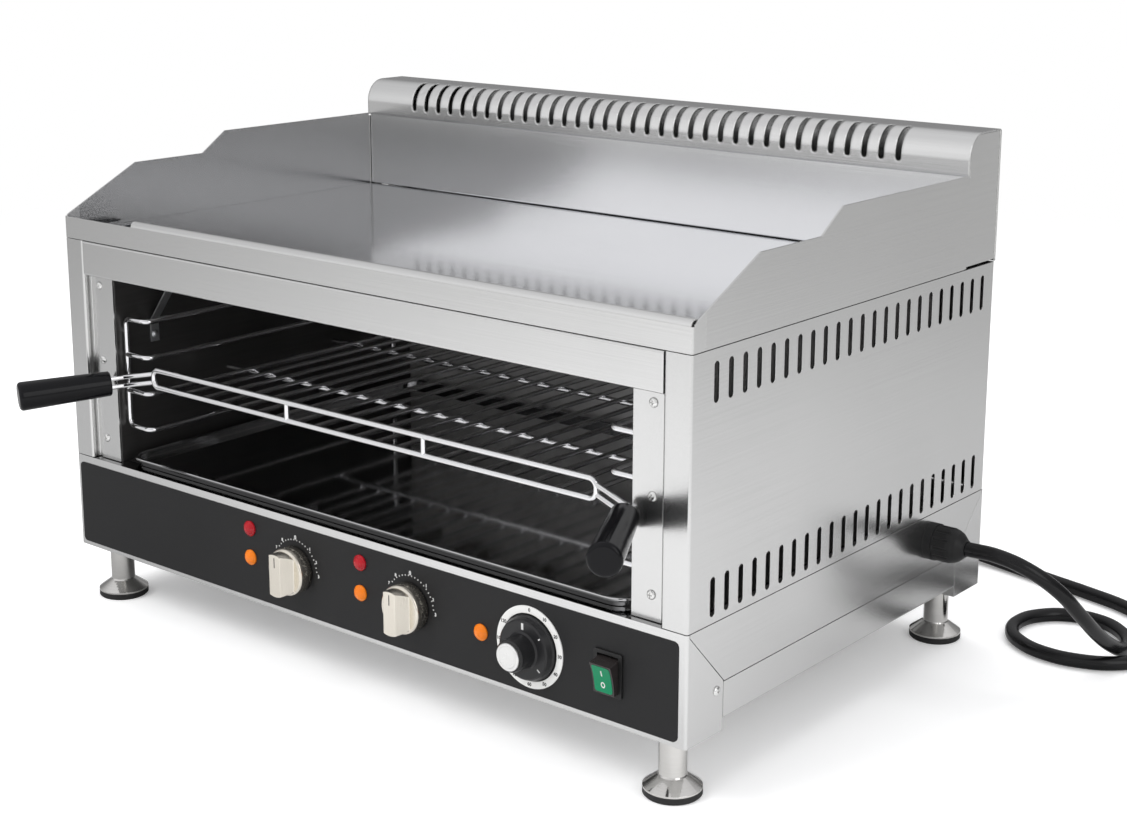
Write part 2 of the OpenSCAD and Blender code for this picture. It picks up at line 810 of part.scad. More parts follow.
// Outline of the flue, drawn in by a margin
module flue_outline(margin) {
    r = flue_r - margin;
    low = apron_z + margin;
    difference() {
        translate([flue_y + margin, low]) square([flue_d - 2 * margin, flue_z - margin - low]);
        translate([flue_y, flue_z - flue_r]) square([flue_r, flue_r]);
    }
    translate([flue_y + flue_r, flue_z - flue_r]) circle(r);
}

// One slot, cut up the flat front and on round the curve
module flue_slot() {
    reach = flue_r + flue_slot_w;
    translate([0, flue_y + flue_r, flue_z - flue_r]) {
        along_x(-flue_slot_w / 2, flue_slot_w / 2)
            polygon([[0, 0], for (i = [0:3]) reach * [-cos(i * flue_slot_turn / 3),
                sin(i * flue_slot_turn / 3)]]);
        rod([0, 0, 0], reach * [0, -cos(flue_slot_turn), sin(flue_slot_turn)], flue_slot_w);
    }
    translate([0, flue_y - 1, 0]) block([-flue_slot_w / 2, 0, flue_slot_low + flue_slot_w / 2],
        [flue_slot_w / 2, 3 * sheet, flue_z - flue_r + 0.01]);
    rod([0, flue_y - 1, flue_slot_low + flue_slot_w / 2], [0, flue_y + 3 * sheet, flue_slot_low + flue_slot_w / 2],
        flue_slot_w);
}

module flue_cover() {
    front = flue_y + sheet / 2;
    back = body_d - sheet / 2;
    crown = flue_z - sheet / 2;
    at_front() color(steel) difference() {
        along_x(-half_w, half_w)
            folded([[front, guard_z - 1], [front, crown], [back, crown], [back, apron_z]],
                [flue_r - sheet / 2, 2 * sheet]);
        for (i = [0 : flue_slot_n - 1])
            translate([(i - (flue_slot_n - 1) / 2) * flue_slot_pitch, 0, 0]) flue_slot();
    }
}

module flue_end() {
    color(steel) along_x(inner_x - seam, half_w - seam) difference() {
        flue_outline(sheet + touch_gap);
        translate([flue_y, apron_z]) square([2 * sheet + touch_gap, guard_z + 10 - apron_z]);
    }
}

module flue_end_right() {
    at_front() color(steel) union() {
        flue_end();
        flue_end_edge();
    }
}

module flue_end_left() {
    at_front() to_left() color(steel) union() {
        flue_end();
        flue_end_edge();
    }
}

// Front edge of an end plate, folded to meet the splash back
module flue_end_edge() {
    edge_x = inner_x - touch_gap;
    block([inner_x - flange_w, flue_y + 2 * sheet, plate_top_z + 2 * sheet],
        [edge_x, flue_y + 3 * sheet, guard_z]);
    block([edge_x, flue_y, apron_z], [half_w - seam, flue_y + 3 * sheet, guard_z - 2 * sheet]);
}

// ---- heating ------------------------------------------------------------------------------------

// Sheathed tube bent to and fro, with its two ends at the back
module element(x, y, z, tail) {
    last = element_legs - 1;
    wire([for (i = [0 : last], e = [0, 1])
        [x + i * element_pitch, (i + e) % 2 == 1 ? y[0] : i + e == 0 || i + e > last ? y[1] + tail : y[1],
            z]], element_d, element_pitch / 2 - 0.01);
}

module grill_element() {
    at_front() color(dark_steel)
        for (x = element_x) element(x, grill_element_y, grill_z, cavity_d - grill_element_y[1]);
}

module griddle_element() {
    post_y = griddle_element_y[1] + griddle_tail / 2;
    at_front() color(dark_steel) union() {
        for (x = element_x) element(x, griddle_element_y, griddle_element_z, griddle_tail);
        for (x = element_x, i = [0, element_legs - 1])
            rod([x + i * element_pitch, post_y, ceiling_z + liner_t],
                [x + i * element_pitch, post_y, griddle_element_z], element_d - 2);
    }
}

// Bent strip on the side liner that holds a leg of the grill element
module element_bracket(y) {
    outer = liner_x - sheet / 2;
    seat_z = grill_z - element_d / 2 - touch_gap - sheet / 2;
    difference() {
        along_y(y - bracket_w / 2, y + bracket_w / 2)
            folded([[outer, bracket_low_z], [outer, bracket_high_z], [outer - bracket_seat[0], seat_z],
                [outer - bracket_seat[1], seat_z]]);
        rod([liner_x - flange_w, y, bracket_screw_z], [liner_x, y, bracket_screw_z],
            2 * (screw_r + hole_gap));
    }
    screw([liner_x - sheet, y, bracket_screw_z], [-1, 0, 0], sheet);
}

module element_brackets() {
    at_front() color(chrome) for (s = [0, 1], y = bracket_y) mirror([s, 0, 0]) element_bracket(y);
}

// ---- controls -----------------------------------------------------------------------------------

// Spindle that a knob turns on, from the panel forwards
module spindle(x, z, reach) {
    rod([x, 3 * sheet, z], [x, -reach, z], 2 * spindle_r);
}

module thermostat(x) {
    color([0.55, 0.55, 0.57]) union() {
        along_y(sheet, sheet + 1.5) translate([x - 28, control_z - 14]) rounded_square([56, 28], 3);
        along_y(sheet + 1.5, 34) translate([x - 20, control_z - 17]) rounded_square([40, 34], 5);
        along_y(34, 40) translate([x, control_z]) circle(12);
        for (s = [-1, 0, 1]) block([x + s * 12 - 3, 40, control_z - 14], [x + s * 12 + 3, 48, control_z - 13]);
        block([x - 15, 34, control_z - 14], [x + 15, 40, control_z - 10]);
        spindle(x, control_z, knob_h - 5);
    }
}

module thermostat_left() { at_front() thermostat(knob_x[0]); }

module thermostat_right() { at_front() thermostat(knob_x[1]); }

// Round skirt with an upright grip whose sides sweep out into the skirt
module thermostat_knob(x) {
    foot_y = panel_y - knob_gap;
    face_y = foot_y - skirt_h;
    top_y = panel_y - knob_h;
    sweep = 9;
    color([0.72, 0.70, 0.65]) difference() {
        union() {
            translate([x, foot_y, control_z]) rotate([90, 0, 0]) rotate_extrude()
                polygon([[0, 0], [knob_r, 0], [knob_r, skirt_h - 0.8], [knob_r - 0.8, skirt_h], [0, skirt_h]]);
            intersection() {
                translate([x, face_y, control_z]) rotate([90, 0, 0])
                    cylinder(r = knob_r - 1.6, h = face_y - top_y);
                along_z(control_z - knob_r, control_z + knob_r) translate([x, 0]) difference() {
                    translate([-grip_w / 2 - sweep, top_y]) square([grip_w + 2 * sweep, face_y - top_y]);
                    for (s = [-1, 1]) translate([s * (grip_w / 2 + sweep), face_y - sweep]) circle(sweep);
                    for (s = [-1, 1]) translate([s * (grip_w / 2 + sweep / 2) - sweep / 2, top_y - 1])
                        square([sweep, face_y - top_y - sweep + 1]);
                }
            }
        }
        rod([x, 1, control_z], [x, -knob_h + 4, control_z], 2 * (spindle_r + turn_gap));
    }
}

module thermostat_knob_left() { at_front() thermostat_knob(knob_x[0]); }

module thermostat_knob_right() { at_front() thermostat_knob(knob_x[1]); }

module timer_mechanism() {
    at_front() color([0.55, 0.55, 0.57]) union() {
        along_y(sheet, sheet + 1.5) translate([timer_x - 28, timer_z - 22]) rounded_square([56, 44], 3);
        along_y(sheet + 1.5, 48) translate([timer_x, timer_z]) circle(22);
        for (s = [-1, 1]) block([timer_x + s * 9 - 3, 48, timer_z - 8], [timer_x + s * 9 + 3, 56, timer_z - 7]);
        spindle(timer_x, timer_z, 16);
    }
}

module timer_knob() {
    barrel_r = 11.8;
    barrel_h = 21.5;
    skirt = 7.6;
    at_front() color(gloss_black) difference() {
        translate([timer_x, panel_y - knob_gap, timer_z]) rotate([90, 0, 0])
            rotate_extrude() polygon([[0, 0], [timer_r, 0], [timer_r, 2.4], [timer_r - 0.6, 3],
                [timer_r - 2, skirt - 0.8], [timer_r - 3, skirt], [barrel_r + 1.5, skirt],
                [barrel_r + 0.4, skirt + 1.2], [barrel_r - 0.4, barrel_h - 1], [barrel_r - 1.2, barrel_h],
                [0, barrel_h]]);
        rod([timer_x, 1, timer_z], [timer_x, -17, timer_z], 2 * (spindle_r + turn_gap));
    }
}

module timer_knob_cap() {
    at_front() color(chrome) translate([timer_x, panel_y - knob_gap - 21.5, timer_z]) rotate([90, 0, 0])
        rotate_extrude() polygon([[0, 0], [9.7, 0], [9.7, 1.2], [9.2, 1.7], [7.8, 1.7], [7.4, 1.4], [0, 1.4]]);
}

module timer_dial_ring() {
    at_front() color([0.9, 0.9, 0.88]) along_y(panel_y - 0.8, panel_y) translate([timer_x, timer_z])
        difference() {
            circle(timer_r + 0.9 + dial_w);
            circle(timer_r + 0.9);
        }
}

// Well of the switch housing: as wide and high as the rocker needs when it tips
well_w = rocker_w + 2 * touch_gap;
well_h = rocker_h + 3.4;

module switch_housing() {
    at_front() color(gloss_black) translate([switch_x, 0, switch_z]) difference() {
        union() {
            along_y(panel_y - 1.5, panel_y) translate([-switch_w / 2, -switch_h / 2])
                rounded_square([switch_w, switch_h], 1.2);
            along_y(panel_y, 22) translate([-well_w / 2 - sheet, -well_h / 2 - sheet / 2])
                square([well_w + 2 * sheet, well_h + sheet]);
            for (z = [-8, 0, 8]) block([-3, 22, z - 0.4], [3, 30, z + 0.4]);
        }
        along_y(-3, 14) translate([-well_w / 2, -well_h / 2]) square([well_w, well_h]);
        rod([-well_w, rocker_y, 0], [well_w, rocker_y, 0], 2 * (rocker_pin_r + turn_gap));
    }
}

module switch_rocker() {
    pin = well_w / 2 + 0.8;
    hollow = 60;
    at_front() color([0.05, 0.45, 0.25]) translate([switch_x, rocker_y, switch_z]) rotate([rocker_tip, 0, 0])
        union() {
            difference() {
                along_x(-rocker_w / 2, rocker_w / 2)
                    polygon([[-rocker_reach, -rocker_h / 2], [1, -rocker_h / 2], [4, -rocker_h / 3],
                        [4, rocker_h / 3], [1, rocker_h / 2], [-rocker_reach, rocker_h / 2]]);
                rod([-rocker_w, -rocker_reach - hollow + 1, 0], [rocker_w, -rocker_reach - hollow + 1, 0],
                    2 * hollow);
            }
            rod([-pin, 0, 0], [pin, 0, 0], 2 * rocker_pin_r);
        }
}

// Domed lens whose stem passes through the panel into its holder
module lamp(p) {
    rise = 4;
    ball = (lamp_r * lamp_r + (rise - 1) * (rise - 1)) / (2 * (rise - 1));
    translate([p.x, panel_y, p.y]) rotate([90, 0, 0]) rotate_extrude() {
        square([lamp_r, 1]);
        intersection() {
            translate([0, rise - ball]) circle(ball);
            translate([0, 1]) square([lamp_r, rise]);
        }
        translate([0, -8]) square([stem_hole_r - hole_gap, 8]);
    }
}

module red_lamps() { at_front() color([0.55, 0.02, 0.02]) for (p = red_at) lamp(p); }

module amber_lamps() { at_front() color([0.9, 0.38, 0.02]) for (p = amber_at) lamp(p); }

module lamp_holders() {
    at_front() color(matte_black) for (p = concat(red_at, amber_at))
        translate([p.x, sheet, p.y]) rotate([-90, 0, 0]) union() {
            difference() {
                cylinder(r = lamp_r + 1.2, h = 20);
                translate([0, 0, -1]) cylinder(r = stem_hole_r, h = 8);
            }
            for (s = [-1, 1]) block([s * 3 - 0.4, -2, 20], [s * 3 + 0.4, 2, 27]);
        }
}

// ---- feet and small pieces ----------------------------------------------------------------------

foot_at = [for (s = [-1, 1], y = [foot_front, body_d - foot_front]) [s * (half_w - foot_side), y, 0]];

module feet() {
    at_front() color(steel) for (p = foot_at) translate(p) rotate_extrude()
        polygon([[0, pad_h], [pad_r, pad_h], [pad_r, pad_h + 1.2], [stem_r + 0.6, pad_h + 8.4],
            [stem_r, pad_h + 9.4], [stem_r, box_z], [stud_r, box_z], [stud_r, box_z + 6], [0, box_z + 6]]);
}

module foot_pads() {
    at_front() color(gloss_black) for (p = foot_at) translate(p) rotate_extrude()
        polygon([[0, 0], [pad_r - 1, 0], [pad_r, 1], [pad_r, pad_h], [0, pad_h]]);
}

module terminal_block() {
    at_front() color([0.85, 0.82, 0.74]) translate([half_w - 90, gland_at.y - 30, foot_h + sheet])
        difference() {
            union() {
                block([0, 0, 0], [54, 26, 6]);
                for (i = [0:5]) block([i * 10, 0, 0], [i * 10 + 4, 26, 20]);
                block([0, 6, 0], [54, 20, 14]);
            }
            for (i = [0:4]) translate([i * 10 + 7, 13, 8]) cylinder(r = 2, h = 10);
        }
}

module casing_screws() {
    at_front() color(chrome) {
        for (p = rear_screws) screw(p, [0, 1, 0], sheet);
        for (s = [-1, 1], y = [side_screw_y, body_d - side_screw_y])
            screw([s * half_w, y, side_screw_z], [s, 0, 0], side_screw_l);
    }
}

// ---- mains lead ---------------------------------------------------------------------------------

// Every ring of a tube is set square to the route. The rings' sides keep one direction upwards.
function ring(p, along, r, sides) =
    let (side = unit(cross(along, [0, 0, 1])), up = cross(side, along))
    [for (k = [0 : sides - 1]) p + r * (cos(360 * k / sides) * side + sin(360 * k / sides) * up)];

function route_heading(p, i) =
    i == 0 ? heading(p, 0) : i == len(p) - 1 ? heading(p, i - 1) : unit(p[i + 1] - p[i - 1]);

// Curve that passes through every point of a route, in steps between each pair
function curve_at(a, b, c, d, t) =
    0.5 * (2 * b + (c - a) * t + (2 * a - 5 * b + 4 * c - d) * t * t
        + (3 * b - a - 3 * c + d) * t * t * t);
function curve(p, steps) = [
    for (i = [0 : len(p) - 2], k = [0 : steps - 1])
        curve_at(p[max(i - 1, 0)], p[i], p[i + 1], p[min(i + 2, len(p) - 1)], k / steps),
    p[len(p) - 1]
];

module swept(p, r, sides, first, last) {
    n = len(p);
    points = [for (i = [0 : n - 1]) each ring(p[i],
        i == 0 ? first : i == n - 1 ? last : route_heading(p, i), r, sides)];
    faces = [
        [for (k = [0 : sides - 1]) k],
        for (i = [0 : n - 2], k = [0 : sides - 1]) each [
            [i * sides + k, (i + 1) * sides + k, (i + 1) * sides + (k + 1) % sides],
            [i * sides + k, (i + 1) * sides + (k + 1) % sides, i * sides + (k + 1) % sides]
        ],
        [for (k = [0 : sides - 1]) (n - 1) * sides + sides - 1 - k]
    ];
    polyhedron(points, faces);
}

// Place on the coil after a number of turns: it winds in, climbs one layer and winds out again
half_turns = (coil_turns - coil_climb) / 2;
layer_h = plug_r - coil_z;
function ease(t) = t * t * (3 - 2 * t);
function coil_radius(t) = coil_r - coil_pitch * min(t, coil_turns - t);
function coil_height(t) = coil_z + layer_h * ease(min(1, max(0, (t - half_turns) / coil_climb)));
function coil_point(t) = [coil_x - coil_radius(t) * sin(360 * t), coil_y + coil_radius(t) * cos(360 * t),
    coil_height(t)];
coil_end = coil_point(coil_turns);
coil_path = concat(
    [coil_point(0), coil_point(0) - [cord_d, 0, 0]],
    [for (i = [2 : coil_turns * coil_rings - 1]) coil_point(i / coil_rings)],
    [coil_end, coil_end - [coil_tail / 2, 0, 0], coil_end - [coil_tail, 0, 0]]);
plug_at = coil_end - [coil_tail, 0, 0];

// Least gap between strands of the coil, on points that lie more than half a turn apart
coil_gap = min([for (i = [0 : len(coil_path) - 1], j = [i + coil_rings / 2 : 1 : len(coil_path) - 1])
    norm(coil_path[i] - coil_path[j])]) - cord_d;
function path_length(p, i = 0) = i >= len(p) - 1 ? 0 : norm(p[i + 1] - p[i]) + path_length(p, i + 1);
tube_path = curve(cord_route, 2);
echo(coil_gap = coil_gap, cord_length = path_length(tube_path) + path_length(coil_path));

module cable_gland() {
    x = half_w;
    at_front() color(gloss_black) union() {
        rod([x - 12, gland_at.y, gland_at.z], [x, gland_at.y, gland_at.z], 2 * gland_thread_r);
        rod([x, gland_at.y, gland_at.z], [x + 6, gland_at.y, gland_at.z], 2 * gland_r);
        translate([x - 9, gland_at.y, gland_at.z]) rotate([0, 90, 0]) cylinder(r = gland_r, h = 6, $fn = 6);
    }
}

module gland_nut() {
    nut_r = gland_r - 0.6;
    at_front() color(gloss_black) translate([half_w + 6, gland_at.y, gland_at.z]) rotate([0, 90, 0])
        difference() {
            rotate_extrude() polygon([[0, 0], [nut_r, 0], [nut_r, 12], [nut_r - 0.8, 15], [nut_r - 2.4, 18.5],
                [nut_r - 5, 21.4], [cord_r + 1.2, 23], [cord_r + 0.8, gland_len - 6], [0, gland_len - 6]]);
            for (i = [0 : 11]) rotate(i * 30) translate([nut_r + 0.9, 0, 1.5]) cylinder(r = 1.6, h = 12);
        }
}

module cord_tube() {
    at_front() color(gloss_black) swept(tube_path, cord_r, 10, [1, 0, 0], [-1, 0, 0]);
}

module cord_coil() {
    at_front() color(gloss_black) swept(coil_path, cord_r, 6, [-1, 0, 0], [-1, 0, 0]);
}

// Flat strap round all strands of the coil, on its left side
module cord_tie() {
    strap_w = 8;
    strap_t = 1.2;
    gap = 0.5;
    low_r = coil_radius(half_turns) - cord_r - gap - strap_t;
    size = [coil_radius(0.25) + cord_r + gap + strap_t - low_r, plug_r + cord_r + gap + strap_t];
    at_front() color(matte_black) translate([coil_x, coil_y, 0]) rotate([0, 0, 180])
        along_y(-strap_w / 2, strap_w / 2) translate([low_r, 0]) difference() {
            rounded_square(size, 3);
            translate([strap_t, strap_t]) rounded_square(size - 2 * [strap_t, strap_t], 2);
        }
}

module mains_plug() {
    at_front() color(gloss_black) translate(plug_at) rotate([0, -90, 0]) rotate_extrude()
        polygon([[0, 0], [cord_r + 1.5, 0], [cord_r + 2.5, 10], [cord_r + 4.5, 22], [plug_r - 4, 27],
            [plug_r - 1, 31], [plug_r, 35], [plug_r, 58], [plug_r - 1, 59.5], [0, 59.5]]);
}

module plug_pins() {
    pin_r = 2.4;
    at_front() color(chrome) for (s = [-1, 1]) translate(plug_at + [-59.5, s * 9.5, 0]) rotate([0, -90, 0])
        cylinder(r = pin_r, h = 19);
}

side_panel_left();
side_panel_right();
rear_panel();
top_rail();
control_panel();
control_overlay();
base_tray();
base_side_left();
base_side_right();
base_rear_panel();
cavity_floor();
liner_left();
liner_right();
liner_rear();
cavity_ceiling();
inner_strip_left();
inner_strip_right();
strip_screws();
rack_support_left();
rack_support_right();
wire_rack();
rack_handle_left();
rack_handle_right();
crumb_tray();
griddle_apron();
griddle_plate();
splash_guard_left();
splash_guard_right();
splash_back();
flue_cover();
flue_end_left();
flue_end_right();
grill_element();
griddle_element();
element_brackets();
thermostat_left();
thermostat_right();
timer_mechanism();
thermostat_knob_left();
thermostat_knob_right();
timer_knob();
timer_knob_cap();
timer_dial_ring();
switch_housing();
switch_rocker();
red_lamps();
amber_lamps();
lamp_holders();
feet();
foot_pads();
terminal_block();
casing_screws();
cable_gland();
gland_nut();
cord_tube();
cord_coil();
cord_tie();
mains_plug();
plug_pins();
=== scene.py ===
import math

import bmesh
import bpy
from mathutils import Matrix, Vector


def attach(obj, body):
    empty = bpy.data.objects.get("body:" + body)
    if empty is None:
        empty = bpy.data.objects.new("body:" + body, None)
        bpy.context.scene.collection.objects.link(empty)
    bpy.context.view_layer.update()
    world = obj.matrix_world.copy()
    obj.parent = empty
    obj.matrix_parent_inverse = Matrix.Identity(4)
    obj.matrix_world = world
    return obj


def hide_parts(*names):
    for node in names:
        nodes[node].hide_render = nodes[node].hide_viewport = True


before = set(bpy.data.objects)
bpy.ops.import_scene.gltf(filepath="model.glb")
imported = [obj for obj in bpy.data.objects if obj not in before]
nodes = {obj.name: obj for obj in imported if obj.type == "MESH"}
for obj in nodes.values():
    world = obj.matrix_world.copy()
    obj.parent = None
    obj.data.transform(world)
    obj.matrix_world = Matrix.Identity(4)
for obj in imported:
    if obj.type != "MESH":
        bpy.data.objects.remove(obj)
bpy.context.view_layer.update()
mm = 0.001
frontY = -162.491
print("frame loaded")


# Millimetres with the front face at y 0, as metres in the frame
def place(x, y, z):
    return Vector((x * mm, (y + frontY) * mm, z * mm))


# Camera

cameraSet = {
    "at": (964.76, -917.44, 579.06),
    "azimuth": 39.477,
    "elevation": 12.697,
    "roll": 0.114,
    "lens": 61.235,
    "sensor": 36,
    "shiftY": -0.0887,
    "clips": (0.05, 60),
}


def makeCamera(s):
    data = bpy.data.cameras.new("camera")
    data.sensor_width = s["sensor"]
    data.sensor_fit = "HORIZONTAL"
    data.lens = s["lens"]
    data.shift_y = s["shiftY"]
    data.clip_start, data.clip_end = s["clips"]
    camera = bpy.data.objects.new("camera", data)
    turn = (
        Matrix.Rotation(math.radians(s["azimuth"]), 4, "Z")
        @ Matrix.Rotation(math.radians(90 - s["elevation"]), 4, "X")
        @ Matrix.Rotation(math.radians(s["roll"]), 4, "Z")
    )
    camera.matrix_world = Matrix.Translation(place(*s["at"])) @ turn
    bpy.context.scene.collection.objects.link(camera)
    bpy.context.scene.camera = camera


makeCamera(cameraSet)
print("camera made")

# Cord, in metres: one smooth curve from the gland to the plug, coiled before the plug

cordSet = {
    "route": [
        (0.340, 0.14851, 0.1010), (0.366, 0.14851, 0.1010), (0.388, 0.15351, 0.0940),
        (0.405, 0.16751, 0.0780), (0.414, 0.18751, 0.0560), (0.418, 0.20951, 0.0360),
        (0.420, 0.23251, 0.0200), (0.420, 0.25551, 0.0093), (0.415, 0.27751, 0.0059),
        (0.401, 0.29651, 0.0055), (0.379, 0.30751, 0.0055), (0.355, 0.30451, 0.0055),
        (0.337, 0.28951, 0.0055), (0.329, 0.26751, 0.0055), (0.334, 0.24351, 0.0055),
        (0.351, 0.22651, 0.0055), (0.375, 0.21851, 0.0055), (0.401, 0.22151, 0.0055),
        (0.424, 0.23451, 0.0055), (0.438, 0.25651, 0.0055), (0.4403, 0.28351, 0.0055),
        (0.431, 0.31151, 0.0055), (0.409, 0.33451, 0.0055), (0.380, 0.35051, 0.0055),
        (0.345, 0.36051, 0.0055), (0.305, 0.36951, 0.0055), (0.265, 0.37851, 0.0060),
        (0.230, 0.38451, 0.0070), (0.195, 0.38851, 0.0074), (0.165, 0.38951, 0.0074),
    ],
    "coilCentre": (0.150, 0.32151),
    "coilRadius": 0.068,
    "coilPitch": 0.0124,
    "coilHeight": 0.0074,
    "coilTurns": 3,
    "coilSteps": 24,
    "layerHeight": 0.0121,
    "climbFrom": 1.25,
    "climbOver": 0.5,
    "tail": 0.056,
    "radius": 0.0055,
    "length": 2.006,
    "roundSteps": 6,
    "lengthSteps": 8,
}


# A point of the coil after t turns, which climbs to its upper layer on the way
def coilPoint(s, t):
    radius = s["coilRadius"] - s["coilPitch"] * min(t, s["coilTurns"] - t)
    rise = min(1, max(0, (t - s["climbFrom"]) / s["climbOver"]))
    height = s["coilHeight"] + s["layerHeight"] * rise * rise * (3 - 2 * rise)
    turn = 2 * math.pi * t
    x, y = s["coilCentre"]
    return (x - radius * math.sin(turn), y + radius * math.cos(turn), height)


def makeCord(s):
    points = list(s["route"])
    steps = s["coilTurns"] * s["coilSteps"]
    points += [coilPoint(s, i / s["coilSteps"]) for i in range(steps)]
    end = coilPoint(s, s["coilTurns"])
    points += [end, (end[0] - s["tail"] / 2, end[1], end[2]), (end[0] - s["tail"], end[1], end[2])]
    data = bpy.data.curves.new("mains_cord", "CURVE")
    data.dimensions = "3D"
    data.bevel_depth = 1  # each point's own radius then gives the real one
    data.bevel_resolution = s["roundSteps"]
    data.resolution_u = s["lengthSteps"]
    data.use_fill_caps = True
    spline = data.splines.new("BEZIER")
    spline.bezier_points.add(len(points) - 1)
    for knot, point in zip(spline.bezier_points, points):
        knot.co = point
        knot.radius = s["radius"]
        knot.handle_left_type = "AUTO"
        knot.handle_right_type = "AUTO"
    cord = bpy.data.objects.new("mains_cord", data)
    bpy.context.scene.collection.objects.link(cord)
    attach(cord, "casing")
    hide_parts("cord_tube", "cord_coil")
    return cord


mainsCord = makeCord(cordSet)
print("cord made")

# Shared node groups


def addNode(tree, kind, **settings):
    node = tree.nodes.new(kind)
    for key, value in settings.items():
        setattr(node, key, value)
    return node


def newGroup(name, inputs, outputs):
    group = bpy.data.node_groups.new(name, "ShaderNodeTree")
    for socket, kind in inputs:
        group.interface.new_socket(name=socket, in_out="INPUT", socket_type=kind)
    for socket, kind in outputs:
        group.interface.new_socket(name=socket, in_out="OUTPUT", socket_type=kind)
    return group, group.nodes.new("NodeGroupInput"), group.nodes.new("NodeGroupOutput")


# Both ends of what a range node takes ("From") or gives ("To")
def setRange(node, side, ends):
    node.inputs[side + " Min"].default_value = ends[0]
    node.inputs[side + " Max"].default_value = ends[1]


edgeSet = {"samples": 4, "dots": (1.0, 0.75)}


# Rounded normal near an edge, and a mask that is 1 on the edge, where the materials paint a highlight
def makeSoftEdge(s):
    group, entry, exits = newGroup(
        "softEdge",
        [("Radius", "NodeSocketFloat")],
        [("Normal", "NodeSocketVector"), ("Edge", "NodeSocketFloat")],
    )
    link = group.links.new
    rounded = addNode(group, "ShaderNodeBevel", samples=s["samples"])
    flat = addNode(group, "ShaderNodeNewGeometry")
    dot = addNode(group, "ShaderNodeVectorMath", operation="DOT_PRODUCT")
    mask = addNode(group, "ShaderNodeMapRange")
    setRange(mask, "From", s["dots"])
    link(entry.outputs["Radius"], rounded.inputs["Radius"])
    link(rounded.outputs["Normal"], dot.inputs[0])
    link(flat.outputs["Normal"], dot.inputs[1])
    link(dot.outputs["Value"], mask.inputs["Value"])
    link(rounded.outputs["Normal"], exits.inputs["Normal"])
    link(mask.outputs["Result"], exits.inputs["Edge"])
    return group


noiseSet = {"lineDetail": 3.0, "lineRoughness": 0.6, "cloudDetail": 4.0, "cloudDistortion": 0.4}


# Fine lines or grains stretched by a vector, and slow clouds, both 0 to 1
def makeSurfaceNoise(s):
    group, entry, exits = newGroup(
        "surfaceNoise",
        [("Stretch", "NodeSocketVector"), ("Cloud Scale", "NodeSocketFloat")],
        [("Lines", "NodeSocketFloat"), ("Clouds", "NodeSocketFloat")],
    )
    link = group.links.new
    spot = addNode(group, "ShaderNodeTexCoord")
    scaled = addNode(group, "ShaderNodeVectorMath", operation="MULTIPLY")
    lines = addNode(group, "ShaderNodeTexNoise")
    lines.inputs["Scale"].default_value = 1.0  # the stretch has scaled it
    lines.inputs["Detail"].default_value = s["lineDetail"]
    lines.inputs["Roughness"].default_value = s["lineRoughness"]
    clouds = addNode(group, "ShaderNodeTexNoise")
    clouds.inputs["Detail"].default_value = s["cloudDetail"]
    clouds.inputs["Distortion"].default_value = s["cloudDistortion"]
    link(spot.outputs["Object"], scaled.inputs[0])
    link(entry.outputs["Stretch"], scaled.inputs[1])
    link(scaled.outputs["Vector"], lines.inputs["Vector"])
    link(spot.outputs["Object"], clouds.inputs["Vector"])
    link(entry.outputs["Cloud Scale"], clouds.inputs["Scale"])
    link(lines.outputs["Fac"], exits.inputs["Lines"])
    link(clouds.outputs["Fac"], exits.inputs["Clouds"])
    return group


# Compass share round the object: 0 at the back, then right, front and left
def makeCompass():
    group, entry, exits = newGroup(
        "compassShare", [("Vector", "NodeSocketVector")], [("Share", "NodeSocketFloat")]
    )
    link = group.links.new
    split = addNode(group, "ShaderNodeSeparateXYZ")
    flip = addNode(group, "ShaderNodeMath", operation="MULTIPLY")
    flip.inputs[1].default_value = -1
    turn = addNode(group, "ShaderNodeMath", operation="ARCTAN2")
    share = addNode(group, "ShaderNodeMapRange")
    setRange(share, "From", (math.pi, -math.pi))
    link(entry.outputs["Vector"], split.inputs["Vector"])
    link(split.outputs["Y"], flip.inputs[0])
    link(split.outputs["X"], turn.inputs[0])
    link(flip.outputs["Value"], turn.inputs[1])
    link(turn.outputs["Value"], share.inputs["Value"])
    link(share.outputs["Result"], exits.inputs["Share"])
    return group


softEdge = makeSoftEdge(edgeSet)
surfaceNoise = makeSurfaceNoise(noiseSet)
compassShare = makeCompass()

# Materials: one settings dictionary for each finish
# color and dark are the two ends of the tone that the clouds and lines mix

# edge is the colour of the painted highlight on each finish's edges
alongX = (6.0, 900.0, 900.0)
alongY = (900.0, 5.0, 900.0)
everyWay = (1500.0, 1500.0, 1500.0)

# Brushed sheet with its grain across the machine, and with its grain from front to back
casingWide = {
    "color": (0.70, 0.70, 0.695), "dark": (0.60, 0.60, 0.595), "metallic": 1.0,
    "roughness": (0.16, 0.26), "stretch": alongX, "clouds": 7.0, "bump": 0.05, "radius": 0.4,
    "edge": (0.85, 0.85, 0.84),
}
casingDeep = {
    "color": (0.68, 0.68, 0.675), "dark": (0.58, 0.58, 0.575), "metallic": 1.0,
    "roughness": (0.16, 0.26), "stretch": alongY, "clouds": 6.0, "bump": 0.05, "radius": 0.4,
    "edge": (0.84, 0.84, 0.83),
}

